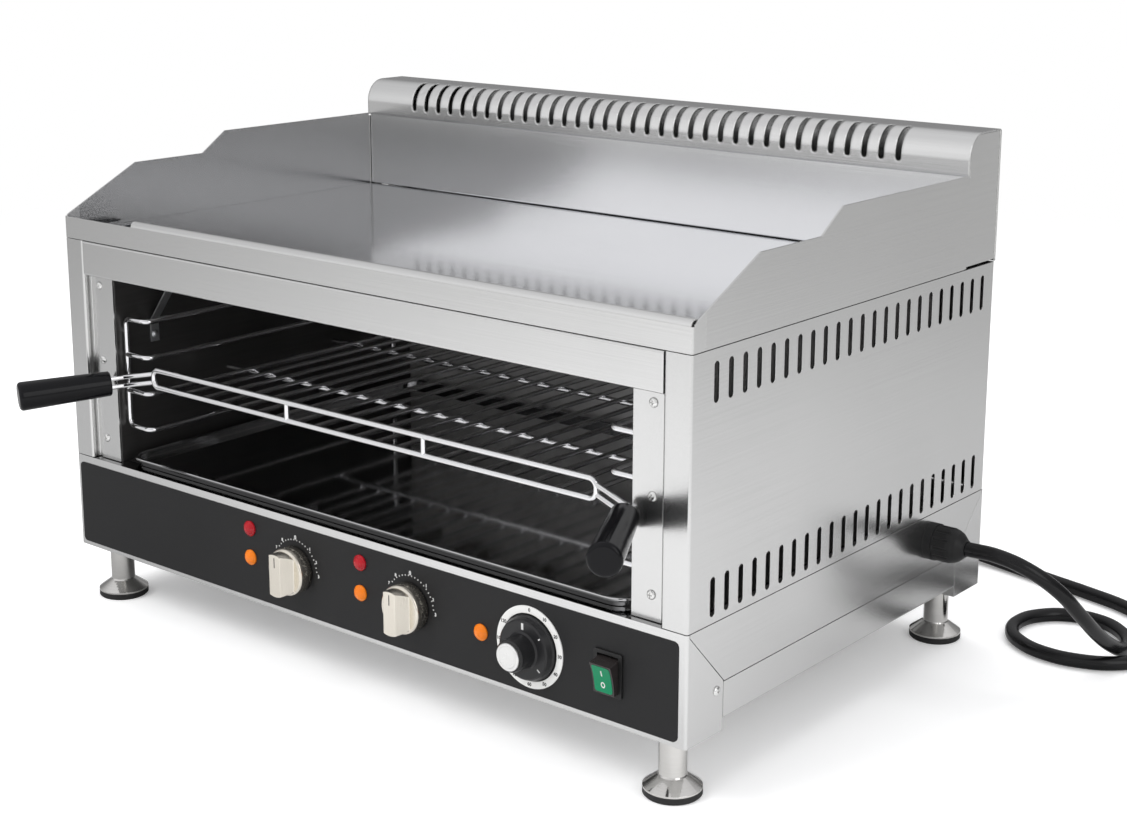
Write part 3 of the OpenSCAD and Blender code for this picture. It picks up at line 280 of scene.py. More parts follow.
finishes = {
    "casingWide": casingWide,
    "casingDeep": casingDeep,
    "flueRounded": casingWide | {"radius": 2.5, "edge": (0.74, 0.74, 0.73)},
    "overlayBlack": {
        "color": (0.011, 0.011, 0.0115), "dark": (0.008, 0.008, 0.0085), "metallic": 0.0,
        "roughness": (0.5, 0.62), "stretch": everyWay, "clouds": 9.0, "bump": 0.05, "radius": 0.15,
        "edge": (0.03, 0.03, 0.03), "specular": 0.3,
    },
    # The left guard's inner face takes a darker tone as painted shade
    "guardInnerShaded": casingDeep | {
        "facing": {"way": (1, 0, 0), "color": (0.45, 0.45, 0.45), "roughness": 0.16},
    },
    # The splash back's front face takes a paler tone as painted light
    "splashFrontLit": casingWide | {
        "facing": {"way": (0, -1, 0), "color": (0.91, 0.91, 0.91), "roughness": 0.20},
    },
    # The control panel's top ledge takes a darker tone as a painted reflection of the dark cavity,
    # with lower roughness
    "panelLedgeShaded": casingWide | {
        "bump": 0.03,
        "facing": {"way": (0, 0, 1), "color": (0.40, 0.40, 0.40), "roughness": 0.07},
    },
    "linerDark": {
        "color": (0.10, 0.097, 0.095), "dark": (0.05, 0.049, 0.048), "metallic": 0.7,
        "roughness": (0.30, 0.45), "stretch": (20.0, 20.0, 500.0), "clouds": 11.0, "bump": 0.04,
        "radius": 0.3, "edge": (0.10, 0.10, 0.10),
    },
    # A paler copy of the liner steel on the right, rear and ceiling liners, as painted light inside
    # the cavity
    "linerPaleLit": {
        "color": (0.80, 0.79, 0.78), "dark": (0.10, 0.098, 0.096), "metallic": 0.2,
        "roughness": (0.22, 0.38), "stretch": (40.0, 40.0, 90.0), "clouds": 17.0, "bump": 0.05,
        "radius": 0.3, "edge": (0.3, 0.3, 0.3),
    },
    "brightWire": {
        "color": (0.82, 0.82, 0.83), "dark": (0.72, 0.72, 0.73), "metallic": 1.0,
        "roughness": (0.07, 0.13), "stretch": everyWay, "clouds": 20.0, "bump": 0.02, "radius": 0.2,
        "edge": (0.9, 0.9, 0.9),
    },
    # The tray's faces that look to the front take a dark tone as painted shade under the rim
    "trayPolishedFrontShaded": {
        "color": (0.66, 0.66, 0.67), "dark": (0.50, 0.50, 0.50), "metallic": 1.0,
        "roughness": (0.04, 0.09), "stretch": alongX, "clouds": 8.0, "bump": 0.006, "radius": 0.3,
        "edge": (0.85, 0.85, 0.85),
        "facing": {"way": (0, -1, 0), "color": (0.10, 0.10, 0.10), "roughness": 0.12},
    },
    "griddleGround": {
        "color": (0.64, 0.645, 0.67), "dark": (0.53, 0.54, 0.57), "metallic": 1.0,
        "roughness": (0.09, 0.16), "stretch": alongX, "clouds": 5.0, "bump": 0.03, "radius": 0.5,
        "edge": (0.8, 0.8, 0.82),
    },
    "handleBlack": {
        "color": (0.005, 0.005, 0.006), "dark": (0.003, 0.003, 0.004), "metallic": 0.0,
        "roughness": (0.13, 0.2), "stretch": everyWay, "clouds": 30.0, "bump": 0.01, "radius": 0.3,
        "edge": (0.02, 0.02, 0.02), "coat": 0.08, "specular": 0.14,
    },
    "elementSheath": {
        "color": (0.11, 0.10, 0.095), "dark": (0.06, 0.055, 0.05), "metallic": 0.7,
        "roughness": (0.45, 0.6), "stretch": everyWay, "clouds": 40.0, "bump": 0.1, "radius": 0.2,
        "edge": (0.15, 0.14, 0.13),
    },
    "zincPlate": {
        "color": (0.62, 0.63, 0.64), "dark": (0.48, 0.49, 0.50), "metallic": 1.0,
        "roughness": (0.35, 0.5), "stretch": everyWay, "clouds": 25.0, "bump": 0.05, "radius": 0.2,
        "edge": (0.75, 0.75, 0.75),
    },
    "screwSteel": {
        "color": (0.80, 0.80, 0.79), "dark": (0.68, 0.68, 0.67), "metallic": 1.0,
        "roughness": (0.18, 0.30), "stretch": everyWay, "clouds": 60.0, "bump": 0.03, "radius": 0.15,
        "edge": (0.9, 0.9, 0.9),
    },
    "knobNickel": {
        "color": (0.79, 0.745, 0.665), "dark": (0.67, 0.63, 0.55), "metallic": 1.0,
        "roughness": (0.20, 0.29), "stretch": (1200.0, 1200.0, 20.0), "clouds": 40.0, "bump": 0.012,
        "radius": 0.5, "edge": (0.92, 0.89, 0.82),
    },
    "capBright": {
        "color": (0.80, 0.80, 0.79), "dark": (0.72, 0.72, 0.71), "metallic": 1.0,
        "roughness": (0.25, 0.35), "stretch": everyWay, "clouds": 60.0, "bump": 0.02, "radius": 0.3,
        "edge": (0.88, 0.88, 0.87),
    },
    "dialWhite": {
        "color": (0.84, 0.84, 0.82), "dark": (0.78, 0.78, 0.76), "metallic": 0.0,
        "roughness": (0.35, 0.45), "stretch": everyWay, "clouds": 50.0, "bump": 0.02, "radius": 0.2,
        "edge": (0.88, 0.88, 0.87),
    },
    "knobBlack": {
        "color": (0.016, 0.016, 0.017), "dark": (0.011, 0.011, 0.012), "metallic": 0.0,
        "roughness": (0.3, 0.42), "stretch": everyWay, "clouds": 40.0, "bump": 0.03, "radius": 0.3,
        "edge": (0.04, 0.04, 0.04), "specular": 0.35,
    },
    "switchBlack": {
        "color": (0.012, 0.012, 0.012), "dark": (0.008, 0.008, 0.008), "metallic": 0.0,
        "roughness": (0.28, 0.42), "stretch": everyWay, "clouds": 40.0, "bump": 0.04, "radius": 0.3,
        "edge": (0.05, 0.05, 0.05), "specular": 0.3,
    },
    "rockerBlack": {
        "color": (0.030, 0.026, 0.025), "dark": (0.018, 0.015, 0.015), "metallic": 0.0,
        "roughness": (0.22, 0.34), "stretch": everyWay, "clouds": 40.0, "bump": 0.03, "radius": 0.4,
        "edge": (0.10, 0.09, 0.09),
    },
    # The rocker's glow is painted light on its green face
    "rockerGreen": {
        "color": (0.0, 0.23, 0.10), "dark": (0.0, 0.17, 0.07), "metallic": 0.0,
        "roughness": (0.18, 0.28), "stretch": everyWay, "clouds": 90.0, "bump": 0.02, "radius": 0.2,
        "edge": (0.02, 0.34, 0.17), "specular": 0.25, "glow": 0.06,
    },
    "redLens": {
        "color": (0.52, 0.0, 0.010), "dark": (0.16, 0.0, 0.003), "metallic": 0.0,
        "roughness": (0.08, 0.14), "stretch": everyWay, "clouds": 140.0, "bump": 0.02, "radius": 0.2,
        "edge": (0.5, 0.02, 0.04), "coat": 0.2, "specular": 0.3, "glow": 0.08,
    },
    "amberLens": {
        "color": (0.90, 0.25, 0.001), "dark": (0.60, 0.10, 0.0), "metallic": 0.0,
        "roughness": (0.08, 0.14), "stretch": everyWay, "clouds": 140.0, "bump": 0.02, "radius": 0.2,
        "edge": (1.0, 0.46, 0.08), "coat": 0.2, "specular": 0.3, "glow": 0.10,
    },
    "footSteel": {
        "color": (0.72, 0.71, 0.69), "dark": (0.58, 0.57, 0.55), "metallic": 1.0,
        "roughness": (0.07, 0.13), "stretch": (5.0, 5.0, 1200.0), "clouds": 20.0, "bump": 0.05,
        "radius": 0.4, "edge": (0.88, 0.88, 0.86),
    },
    "padRubber": {
        "color": (0.016, 0.016, 0.016), "dark": (0.010, 0.010, 0.010), "metallic": 0.0,
        "roughness": (0.6, 0.8), "stretch": everyWay, "clouds": 60.0, "bump": 0.15, "radius": 0.3,
        "edge": (0.04, 0.04, 0.04),
    },
    "ceramic": {
        "color": (0.80, 0.77, 0.70), "dark": (0.72, 0.69, 0.62), "metallic": 0.0,
        "roughness": (0.2, 0.35), "stretch": everyWay, "clouds": 50.0, "bump": 0.05, "radius": 0.3,
        "edge": (0.84, 0.81, 0.75), "coat": 0.3,
    },
    "glandBlack": {
        "color": (0.009, 0.009, 0.0095), "dark": (0.006, 0.006, 0.006), "metallic": 0.0,
        "roughness": (0.35, 0.5), "stretch": everyWay, "clouds": 60.0, "bump": 0.05, "radius": 0.4,
        "edge": (0.06, 0.06, 0.06), "specular": 0.25,
    },
    "cordRubber": {
        "color": (0.008, 0.008, 0.0085), "dark": (0.005, 0.005, 0.0055), "metallic": 0.0,
        "roughness": (0.17, 0.26), "stretch": everyWay, "clouds": 30.0, "bump": 0.03, "radius": 0.2,
        "edge": (0.012, 0.012, 0.012), "specular": 0.25,
    },
    "pinBright": {
        "color": (0.80, 0.74, 0.56), "dark": (0.70, 0.64, 0.46), "metallic": 1.0,
        "roughness": (0.18, 0.28), "stretch": everyWay, "clouds": 60.0, "bump": 0.02, "radius": 0.2,
        "edge": (0.88, 0.83, 0.68),
    },
    "markWhite": {
        "color": (0.75, 0.75, 0.74), "dark": (0.66, 0.66, 0.65), "metallic": 0.0,
        "roughness": (0.45, 0.6), "stretch": everyWay, "clouds": 200.0, "bump": 0.0, "radius": 0.05,
        "edge": (0.75, 0.75, 0.74),
    },
    "markDark": {
        "color": (0.035, 0.035, 0.035), "dark": (0.02, 0.02, 0.02), "metallic": 0.0,
        "roughness": (0.45, 0.6), "stretch": everyWay, "clouds": 200.0, "bump": 0.0, "radius": 0.05,
        "edge": (0.035, 0.035, 0.035),
    },
}


# What a finish has unless it says otherwise
finishDefaults = {
    "cloudShare": 0.5,
    "lineShare": 0.5,
    "mixRange": (0.3, 0.7),
    "bumpDepth": 0.5,
    "specular": 0.5,
    "coat": 0,
    "coatRoughness": 0.06,
    "facingDots": (0.8, 0.97),
}


# Painted light and shade: another tone and polish on the faces that look one way
def addPaintedFacing(tree, s, color, roughness):
    spot = addNode(tree, "ShaderNodeTexCoord")
    dot = addNode(tree, "ShaderNodeVectorMath", operation="DOT_PRODUCT")
    dot.inputs[1].default_value = s["facing"]["way"]
    mask = addNode(tree, "ShaderNodeMapRange")
    setRange(mask, "From", s["facingDots"])
    tone = addNode(tree, "ShaderNodeMix", data_type="RGBA")
    tone.inputs["B"].default_value = (*s["facing"]["color"], 1)
    polish = addNode(tree, "ShaderNodeMapRange")
    polish.inputs["To Max"].default_value = s["facing"]["roughness"]
    tree.links.new(spot.outputs["Normal"], dot.inputs[0])
    tree.links.new(dot.outputs["Value"], mask.inputs["Value"])
    tree.links.new(mask.outputs["Result"], tone.inputs["Factor"])
    tree.links.new(color, tone.inputs["A"])
    tree.links.new(mask.outputs["Result"], polish.inputs["Value"])
    tree.links.new(roughness, polish.inputs["To Min"])
    return tone.outputs["Result"], polish.outputs["Result"]


# Tones mixed by clouds and lines, a painted highlight on the edges, and a fine bump
def makeMaterial(name, s):
    material = bpy.data.materials.new(name)
    material.use_nodes = True
    tree = material.node_tree
    tree.nodes.clear()
    link = tree.links.new
    out = addNode(tree, "ShaderNodeOutputMaterial")
    shader = addNode(tree, "ShaderNodeBsdfPrincipled")
    noise = addNode(tree, "ShaderNodeGroup", node_tree=surfaceNoise)
    noise.inputs["Stretch"].default_value = s["stretch"]
    noise.inputs["Cloud Scale"].default_value = s["clouds"]
    edges = addNode(tree, "ShaderNodeGroup", node_tree=softEdge)
    edges.inputs["Radius"].default_value = s["radius"] * mm
    blend = addNode(tree, "ShaderNodeMath", operation="MULTIPLY_ADD", use_clamp=True)
    blend.inputs[1].default_value = s["cloudShare"]
    lined = addNode(tree, "ShaderNodeMath", operation="MULTIPLY")
    lined.inputs[1].default_value = s["lineShare"]
    tone = addNode(tree, "ShaderNodeMix", data_type="RGBA")
    tone.inputs["A"].default_value = (*s["color"], 1)
    tone.inputs["B"].default_value = (*s["dark"], 1)
    edgeHighlight = addNode(tree, "ShaderNodeMix", data_type="RGBA")
    edgeHighlight.inputs["B"].default_value = (*s["edge"], 1)
    rough = addNode(tree, "ShaderNodeMapRange")
    setRange(rough, "From", s["mixRange"])
    setRange(rough, "To", s["roughness"])
    link(noise.outputs["Lines"], lined.inputs[0])
    link(noise.outputs["Clouds"], blend.inputs[0])
    link(lined.outputs["Value"], blend.inputs[2])
    link(blend.outputs["Value"], tone.inputs["Factor"])
    link(tone.outputs["Result"], edgeHighlight.inputs["A"])
    link(edges.outputs["Edge"], edgeHighlight.inputs["Factor"])
    link(blend.outputs["Value"], rough.inputs["Value"])
    shown, grain = edgeHighlight.outputs["Result"], rough.outputs["Result"]
    if "facing" in s:
        shown, grain = addPaintedFacing(tree, s, shown, grain)
    link(shown, shader.inputs["Base Color"])
    link(grain, shader.inputs["Roughness"])
    if s["bump"] > 0:
        bump = addNode(tree, "ShaderNodeBump")
        bump.inputs["Strength"].default_value = s["bump"]
        bump.inputs["Distance"].default_value = s["bumpDepth"] * mm
        link(noise.outputs["Lines"], bump.inputs["Height"])
        link(edges.outputs["Normal"], bump.inputs["Normal"])
        link(bump.outputs["Normal"], shader.inputs["Normal"])
    else:
        link(edges.outputs["Normal"], shader.inputs["Normal"])
    shader.inputs["Metallic"].default_value = s["metallic"]
    shader.inputs["Specular IOR Level"].default_value = s["specular"]
    if s["coat"] > 0:
        shader.inputs["Coat Weight"].default_value = s["coat"]
        shader.inputs["Coat Roughness"].default_value = s["coatRoughness"]
    if "glow" in s:
        link(shown, shader.inputs["Emission Color"])
        shader.inputs["Emission Strength"].default_value = s["glow"]
    link(shader.outputs["BSDF"], out.inputs["Surface"])
    return material


materials = {name: makeMaterial(name, finishDefaults | s) for name, s in finishes.items()}

nodeFinish = {
    "side_panel_left": "casingDeep", "side_panel_right": "casingDeep", "rear_panel": "casingWide",
    "top_rail": "casingWide", "control_panel": "panelLedgeShaded", "control_overlay": "overlayBlack",
    "base_tray": "casingWide", "base_side_left": "casingDeep", "base_side_right": "casingDeep",
    "base_rear_panel": "casingWide", "cavity_floor": "linerDark", "liner_left": "linerDark",
    "liner_right": "linerPaleLit", "liner_rear": "linerPaleLit", "cavity_ceiling": "linerPaleLit",
    "inner_strip_left": "casingDeep", "inner_strip_right": "casingDeep",
    "strip_screws": "screwSteel", "rack_support_left": "brightWire",
    "rack_support_right": "brightWire", "wire_rack": "brightWire",
    "rack_handle_left": "handleBlack", "rack_handle_right": "handleBlack",
    "crumb_tray": "trayPolishedFrontShaded", "griddle_apron": "casingWide", "griddle_plate": "griddleGround",
    "splash_guard_left": "guardInnerShaded", "splash_guard_right": "casingDeep",
    "splash_back": "splashFrontLit", "flue_cover": "flueRounded", "flue_end_left": "casingDeep",
    "flue_end_right": "casingDeep", "grill_element": "elementSheath",
    "griddle_element": "elementSheath", "element_brackets": "zincPlate",
    "thermostat_left": "zincPlate", "thermostat_right": "zincPlate",
    "timer_mechanism": "zincPlate", "thermostat_knob_left": "knobNickel",
    "thermostat_knob_right": "knobNickel", "timer_knob": "knobBlack",
    "timer_knob_cap": "capBright", "timer_dial_ring": "dialWhite", "switch_housing": "switchBlack",
    "switch_rocker": "rockerBlack", "red_lamps": "redLens", "amber_lamps": "amberLens",
    "lamp_holders": "switchBlack", "feet": "footSteel", "foot_pads": "padRubber",
    "terminal_block": "ceramic", "casing_screws": "screwSteel", "cable_gland": "glandBlack",
    "gland_nut": "glandBlack", "cord_tube": "cordRubber", "cord_coil": "cordRubber",
    "cord_tie": "switchBlack", "mains_plug": "cordRubber", "plug_pins": "pinBright",
}


def giveMaterial(piece, name):
    piece.data.materials.clear()
    piece.data.materials.append(materials[name])


for nodeName, piece in nodes.items():
    giveMaterial(piece, nodeFinish[nodeName])
giveMaterial(mainsCord, "cordRubber")
print("materials made")

# Fine pieces, built in millimetres and stood in their place by a base matrix


def newPiece(name, mesh, body, finish):
    data = bpy.data.meshes.new(name)
    bmesh.ops.recalc_face_normals(mesh, faces=mesh.faces[:])
    mesh.to_mesh(data)
    mesh.free()
    piece = bpy.data.objects.new(name, data)
    bpy.context.scene.collection.objects.link(piece)
    giveMaterial(piece, finish)
    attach(piece, body)
    return piece


# Local X to the right, Y up and Z out of the front
def onFront(x, y, z):
    turn = Matrix(((1, 0, 0, 0), (0, 0, -1, 0), (0, 1, 0, 0), (0, 0, 0, 1)))
    return Matrix.Translation(place(x, y, z)) @ turn @ Matrix.Scale(mm, 4)


# Local Z along any way out of the machine
def standing(at, way):
    turn = Vector(way).to_track_quat("Z", "Y").to_matrix().to_4x4()
    return Matrix.Translation(place(*at)) @ turn @ Matrix.Scale(mm, 4)


# A base turned clockwise about its Z and moved outwards, for a mark on a dial
def onDial(base, angle, radius):
    turn = Matrix.Rotation(-math.radians(angle), 4, "Z")
    return base @ turn @ Matrix.Translation((0, radius, 0))


def shiftBy(verts, base, offset):
    for vert in verts:
        vert.co += base.to_3x3() @ Vector(offset)


# A printed bar, centred, that stands out by its depth
def addStroke(mesh, base, width, length, depth):
    shape = Matrix.Translation((0, 0, depth / 2)) @ Matrix.Diagonal((width, length, depth, 1))
    bmesh.ops.create_cube(mesh, size=1, matrix=base @ shape)


# The edges of a ring about the base's Z
def addRing(mesh, base, radius, height, steps, stretch=1):
    shape = Matrix.Translation((0, 0, height)) @ Matrix.Diagonal((stretch, 1, 1, 1))
    ring = bmesh.ops.create_circle(mesh, segments=steps, radius=radius, matrix=base @ shape)
    return list(dict.fromkeys(edge for vert in ring["verts"] for edge in vert.link_edges))


# A printed hoop, such as the letter O
def addHoop(mesh, base, inner, outer, stretch, depth, steps):
    edges = addRing(mesh, base, inner, 0, steps, stretch)
    edges += addRing(mesh, base, outer, 0, steps, stretch)
    flat = bmesh.ops.bridge_loops(mesh, edges=edges)["faces"]
    raised = bmesh.ops.extrude_face_region(mesh, geom=flat)["geom"]
    shiftBy([v for v in raised if isinstance(v, bmesh.types.BMVert)], base, (0, 0, depth))


# A band of faces from each ring to the next, and a face to close each end
def closeRings(mesh, rings):
    pairs = zip(rings, rings[1:])
    bands = [bmesh.ops.bridge_loops(mesh, edges=low + high)["faces"] for low, high in pairs]
    for end in (rings[0], rings[-1]):
        bmesh.ops.contextual_create(mesh, geom=end)
    return bands


digitSet = {"curveSteps": 3, "bolder": 0.04}


# Printed digits, centred, a little bolder than the font
def addDigits(mesh, base, text, size, depth):
    curve = bpy.data.curves.new("digits", "FONT")
    curve.body = text
    curve.size = size
    curve.align_x = "CENTER"
    curve.align_y = "CENTER"
    curve.resolution_u = digitSet["curveSteps"]
    curve.extrude = depth / 2
    curve.offset = digitSet["bolder"] * size
    holder = bpy.data.objects.new("digits", curve)
    bpy.context.scene.collection.objects.link(holder)
    bpy.context.view_layer.update()
    graph = bpy.context.evaluated_depsgraph_get()
    solid = bpy.data.meshes.new_from_object(holder.evaluated_get(graph))
    bpy.data.objects.remove(holder)
    solid.transform(base @ Matrix.Translation((0, 0, depth / 2)))
    mesh.from_mesh(solid)
    bpy.data.meshes.remove(solid)


thermostatCentres = {"left": (-48, 82.5), "right": (70, 82.5)}

thermostatMarks = {
    "centres": thermostatCentres,
    "panelY": -0.5,
    "depth": 0.06,
    "ticks": range(-52, 92, 8),
    "tickRadius": 22.4,
    "tickSize": (0.7, 1.1),
    "digitRadius": 24.2,
    "digits": [(-60, "7", 3.0), (-36, "8", 3.2), (0, "0", 4.2), (40, "1", 3.4), (66, "2", 3.0),
               (92, "3", 3.4)],
}


def makeThermostatMarks(s):
    mesh = bmesh.new()
    for x, z in s["centres"].values():
        base = onFront(x, s["panelY"], z)
        for angle in s["ticks"]:
            addStroke(mesh, onDial(base, angle, s["tickRadius"]), *s["tickSize"], s["depth"])
        for angle, text, size in s["digits"]:
            upright = Matrix.Rotation(math.radians(angle), 4, "Z")
            addDigits(mesh, onDial(base, angle, s["digitRadius"]) @ upright, text, size, s["depth"])
    newPiece("thermostat_marks", mesh, "casing", "markWhite")


makeThermostatMarks(thermostatMarks)

timerMarks = {
    "centre": (181, 80.7),
    "ringY": -1.3,
    "depth": 0.05,
    "digitRadius": 26.45,
    "digitSize": 3.4,
    "digits": ["0", "10", "20", "30", "40", "50", "60", "75", "90", "105", "120"],
    "digitStep": 30,
    "skirtY": -8.5,
    "skirtMarks": [(0, 17.1, (1.9, 4.6)), (52, 18.5, (0.9, 1.8)), (128, 17.9, (0.9, 2.8)),
                   (205, 17.5, (1.1, 3.4))],
}


def makeTimerMarks(s):
    x, z = s["centre"]
    mesh = bmesh.new()
    for i, text in enumerate(s["digits"]):
        angle = i * s["digitStep"]
        base = onDial(onFront(x, s["ringY"], z), angle, s["digitRadius"])
        upright = Matrix.Rotation(math.radians(angle), 4, "Z")
        addDigits(mesh, base @ upright, text, s["digitSize"], s["depth"])
    newPiece("timer_ring_marks", mesh, "casing", "markDark")
    mesh = bmesh.new()
    for angle, radius, size in s["skirtMarks"]:
        addStroke(mesh, onDial(onFront(x, s["skirtY"], z), angle, radius), *size, s["depth"])
    newPiece("timer_skirt_marks", mesh, "timer_knob", "markWhite")


makeTimerMarks(timerMarks)
print("marks made")

thermostatKnob = {
    "centres": thermostatCentres,
    "footY": -0.9,
    "skirt": [(17.3, 0), (17.9, 0.6), (17.9, 10.0), (17.5, 11.0), (16.6, 11.5)],
    "gripRadius": 16.3,
    "gripFrom": 11.3,
    "gripTo": 21.1,
    "gripWidth": 11.4,
    "gripFoot": 20.6,
    "edge": 0.9,
    "edgeSteps": 4,
    "sharpAngle": 25,
    "slack": 0.01,
    "flatArea": 6,
    "steps": 72,
    "line": (0.9, 7.6),
    "lineUp": 10.2,
    "lineDepth": 0.04,
}


# Round skirt with an upright grip whose two sides slope out to its foot
def makeThermostatKnob(s, side):
    x, z = s["centres"][side]
    base = onFront(x, s["footY"], z)
    tall = s["gripTo"] - s["gripFrom"]
    mesh = bmesh.new()
    bmesh.ops.create_cone(
        mesh, cap_ends=True, segments=s["steps"], radius1=s["gripRadius"], radius2=s["gripRadius"],
        depth=tall, matrix=Matrix.Translation((0, 0, s["gripFrom"] + tall / 2)),
    )
    run = (s["gripFoot"] - s["gripWidth"]) / 2
    for way in (-1, 1):
        cut = bmesh.ops.bisect_plane(
            mesh, geom=mesh.verts[:] + mesh.edges[:] + mesh.faces[:],
            plane_co=(way * s["gripWidth"] / 2, 0, s["gripTo"]), plane_no=(way * tall, 0, run),
            clear_outer=True,
        )["geom_cut"]
        bmesh.ops.contextual_create(mesh, geom=[e for e in cut if isinstance(e, bmesh.types.BMEdge)])
    foot = s["gripFrom"] + s["slack"]
    leastAngle = math.radians(s["sharpAngle"])
    sharp = [
        edge for edge in mesh.edges
        if max(v.co.z for v in edge.verts) > foot and edge.calc_face_angle(0) > leastAngle
    ]
    bmesh.ops.bevel(
        mesh, geom=sharp, offset=s["edge"], segments=s["edgeSteps"], profile=0.5, affect="EDGES",
        material=-1, clamp_overlap=True,
    )
    for face in mesh.faces:
        face.smooth = face.calc_area() < s["flatArea"]
    mesh.transform(base)
    skirt = [addRing(mesh, base, radius, height, s["steps"]) for radius, height in s["skirt"]]
    for band in closeRings(mesh, skirt):
        for face in band:
            face.smooth = True
    name = "thermostat_knob_" + side
    knob = newPiece(name + "_turned", mesh, "knob_" + side, "knobNickel")
    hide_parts(name)
    mesh = bmesh.new()
    onGrip = base @ Matrix.Translation((0, s["lineUp"], s["gripTo"]))
    addStroke(mesh, onGrip, *s["line"], s["lineDepth"])
    newPiece(name + "_line", mesh, "knob_" + side, "markDark")


for side in ("left", "right"):
    makeThermostatKnob(thermostatKnob, side)
print("knobs made")

rockerSet = {
    "axis": (248.2, 2, 80.5),
    "tip": 13,
    "middleOut": 9.3,
    "hollow": 60,
    "face": (14.6, 19.6),
    "corner": 2.0,
    "cornerSteps": 6,
    "rows": 9,
    "thickness": 0.25,
    "legendUp": 4.4,
    "legendDepth": 0.12,
    "bar": (0.9, 4.2),
    "hoop": (1.3, 2.2),
    "hoopStretch": 0.8,
    "hoopSteps": 32,
}


# How far the rocker's hollow face stands out at a height above its middle
def rockerOut(s, up):
    return s["middleOut"] + s["hollow"] - math.sqrt(s["hollow"] ** 2 - up * up)


def makeRockerFace(s):
    base = onFront(*s["axis"]) @ Matrix.Rotation(math.radians(s["tip"]), 4, "X")
    wide, tall = s["face"]
    mesh = bmesh.new()
    shape = Matrix.Diagonal((wide, tall, 1, 1))
    bmesh.ops.create_grid(mesh, x_segments=1, y_segments=1, size=0.5, matrix=shape)
    bmesh.ops.bevel(
        mesh, geom=mesh.verts[:], offset=s["corner"], segments=s["cornerSteps"], profile=0.5,
        affect="VERTICES", material=-1,
    )
    for i in range(1, s["rows"]):
        height = tall * (i / s["rows"] - 0.5)
        everything = mesh.verts[:] + mesh.edges[:] + mesh.faces[:]
        bmesh.ops.bisect_plane(mesh, geom=everything, plane_co=(0, height, 0), plane_no=(0, 1, 0))
    for vert in mesh.verts:
        vert.co.z = rockerOut(s, vert.co.y)
    raised = bmesh.ops.extrude_face_region(mesh, geom=mesh.faces[:])["geom"]
    shiftBy([v for v in raised if isinstance(v, bmesh.types.BMVert)], Matrix(), (0, 0, s["thickness"]))
    mesh.transform(base)
    newPiece("rocker_face", mesh, "rocker", "rockerGreen")
    mesh = bmesh.new()
    for up in (s["legendUp"], -s["legendUp"]):
        lean = Matrix.Rotation(math.atan(up / s["hollow"]), 4, "X")
        spot = base @ Matrix.Translation((0, up, rockerOut(s, up) + s["thickness"])) @ lean
        if up > 0:
            addStroke(mesh, spot, *s["bar"], s["legendDepth"])
        else:
            addHoop(mesh, spot, *s["hoop"], s["hoopStretch"], s["legendDepth"], s["hoopSteps"])
    newPiece("rocker_legends", mesh, "rocker", "markWhite")


makeRockerFace(rockerSet)
print("rocker made")

screwSet = {
    "headRadius": 3.4,
    "shankRadius": 1.5,
    "dome": [(3.4, 0.3), (3.2, 0.75), (2.75, 1.2), (2.2, 1.5)],
    "cross": [(1.6, 0.8, 1.72), (1.2, 0.5, 0.8)],
    "steps": 24,
    "strip": [((x, 6.0, z), (0, -1, 0), 7.0) for x in (-277, 277) for z in (139.5, 205.0, 266.0)],
    "casing": [((x, 392, z), (0, 1, 0), 1.0) for x in (-304.3, 304.3) for z in (142.1, 212.05, 282.0)]
    + [((x, y, 74.0), (x / abs(x), 0, 0), 3.0) for x in (-310, 310) for y in (33, 359)],
}


# Edges of a cross with four arms, in order round the axis
def addCross(mesh, base, reach, width, height):
    arm = [(reach, -width / 2), (reach, width / 2), (width / 2, width / 2)]
    turns = [Matrix.Rotation(math.pi / 2 * i, 4, "Z") for i in range(4)]
    verts = [mesh.verts.new(base @ turn @ Vector((x, y, height))) for turn in turns for x, y in arm]
    return [mesh.edges.new(pair) for pair in zip(verts, verts[1:] + verts[:1])]


# A domed head with a cross pressed into it, on a plain shank
def addScrew(mesh, s, base, length):
    profile = [(s["shankRadius"], -length), (s["shankRadius"], 0), (s["headRadius"], 0)] + s["dome"]
    rings = [addRing(mesh, base, radius, height, s["steps"]) for radius, height in profile]
    rings += [addCross(mesh, base, *arm) for arm in s["cross"]]
    domed = len(profile) - len(s["dome"]) - 1
    for band in closeRings(mesh, rings)[domed:len(profile) - 1]:
        for face in band:
            face.smooth = True


def makeScrews(s):
    for group in ("strip", "casing"):
        mesh = bmesh.new()
        for at, way, length in s[group]:
            addScrew(mesh, s, standing(at, way), length)
        piece = newPiece(group + "_screws_cross", mesh, "casing", "screwSteel")
        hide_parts(group + "_screws")


makeScrews(screwSet)
print("screws made")

# Floor, world and lights

studio = {
    "floorRadius": 8.0,
    "floorSteps": 96,
    "floorRoughness": 0.9,
    "floorSeen": (0.94, 0.94, 0.94, 1),
    "floorLift": 0.23,
    "floorFade": (0.8, 2.2),
    "worldLow": (0.78, 0.78, 0.79, 1),
    "worldHigh": (0.60, 0.60, 0.61, 1),
    "worldRise": (0.15, 0.9),
    "worldStrength": 1.45,
    "floorTone": [(0.0, 0.54), (0.10, 0.59), (0.16, 0.76), (0.25, 0.95), (0.42, 1.0), (0.54, 0.98),
                  (0.61, 0.74), (0.66, 0.47), (0.72, 0.40), (0.80, 0.40), (0.90, 0.46), (1.0, 0.52)],
    "worldTone": [(0.0, 0.25), (0.07, 0.14), (0.15, 0.07), (0.21, 0.29), (0.27, 0.57), (0.42, 0.67),
                  (0.54, 0.92), (0.61, 1.0), (0.66, 0.62), (0.72, 0.27), (0.82, 0.21), (0.90, 0.24),
                  (1.0, 0.25)],
}


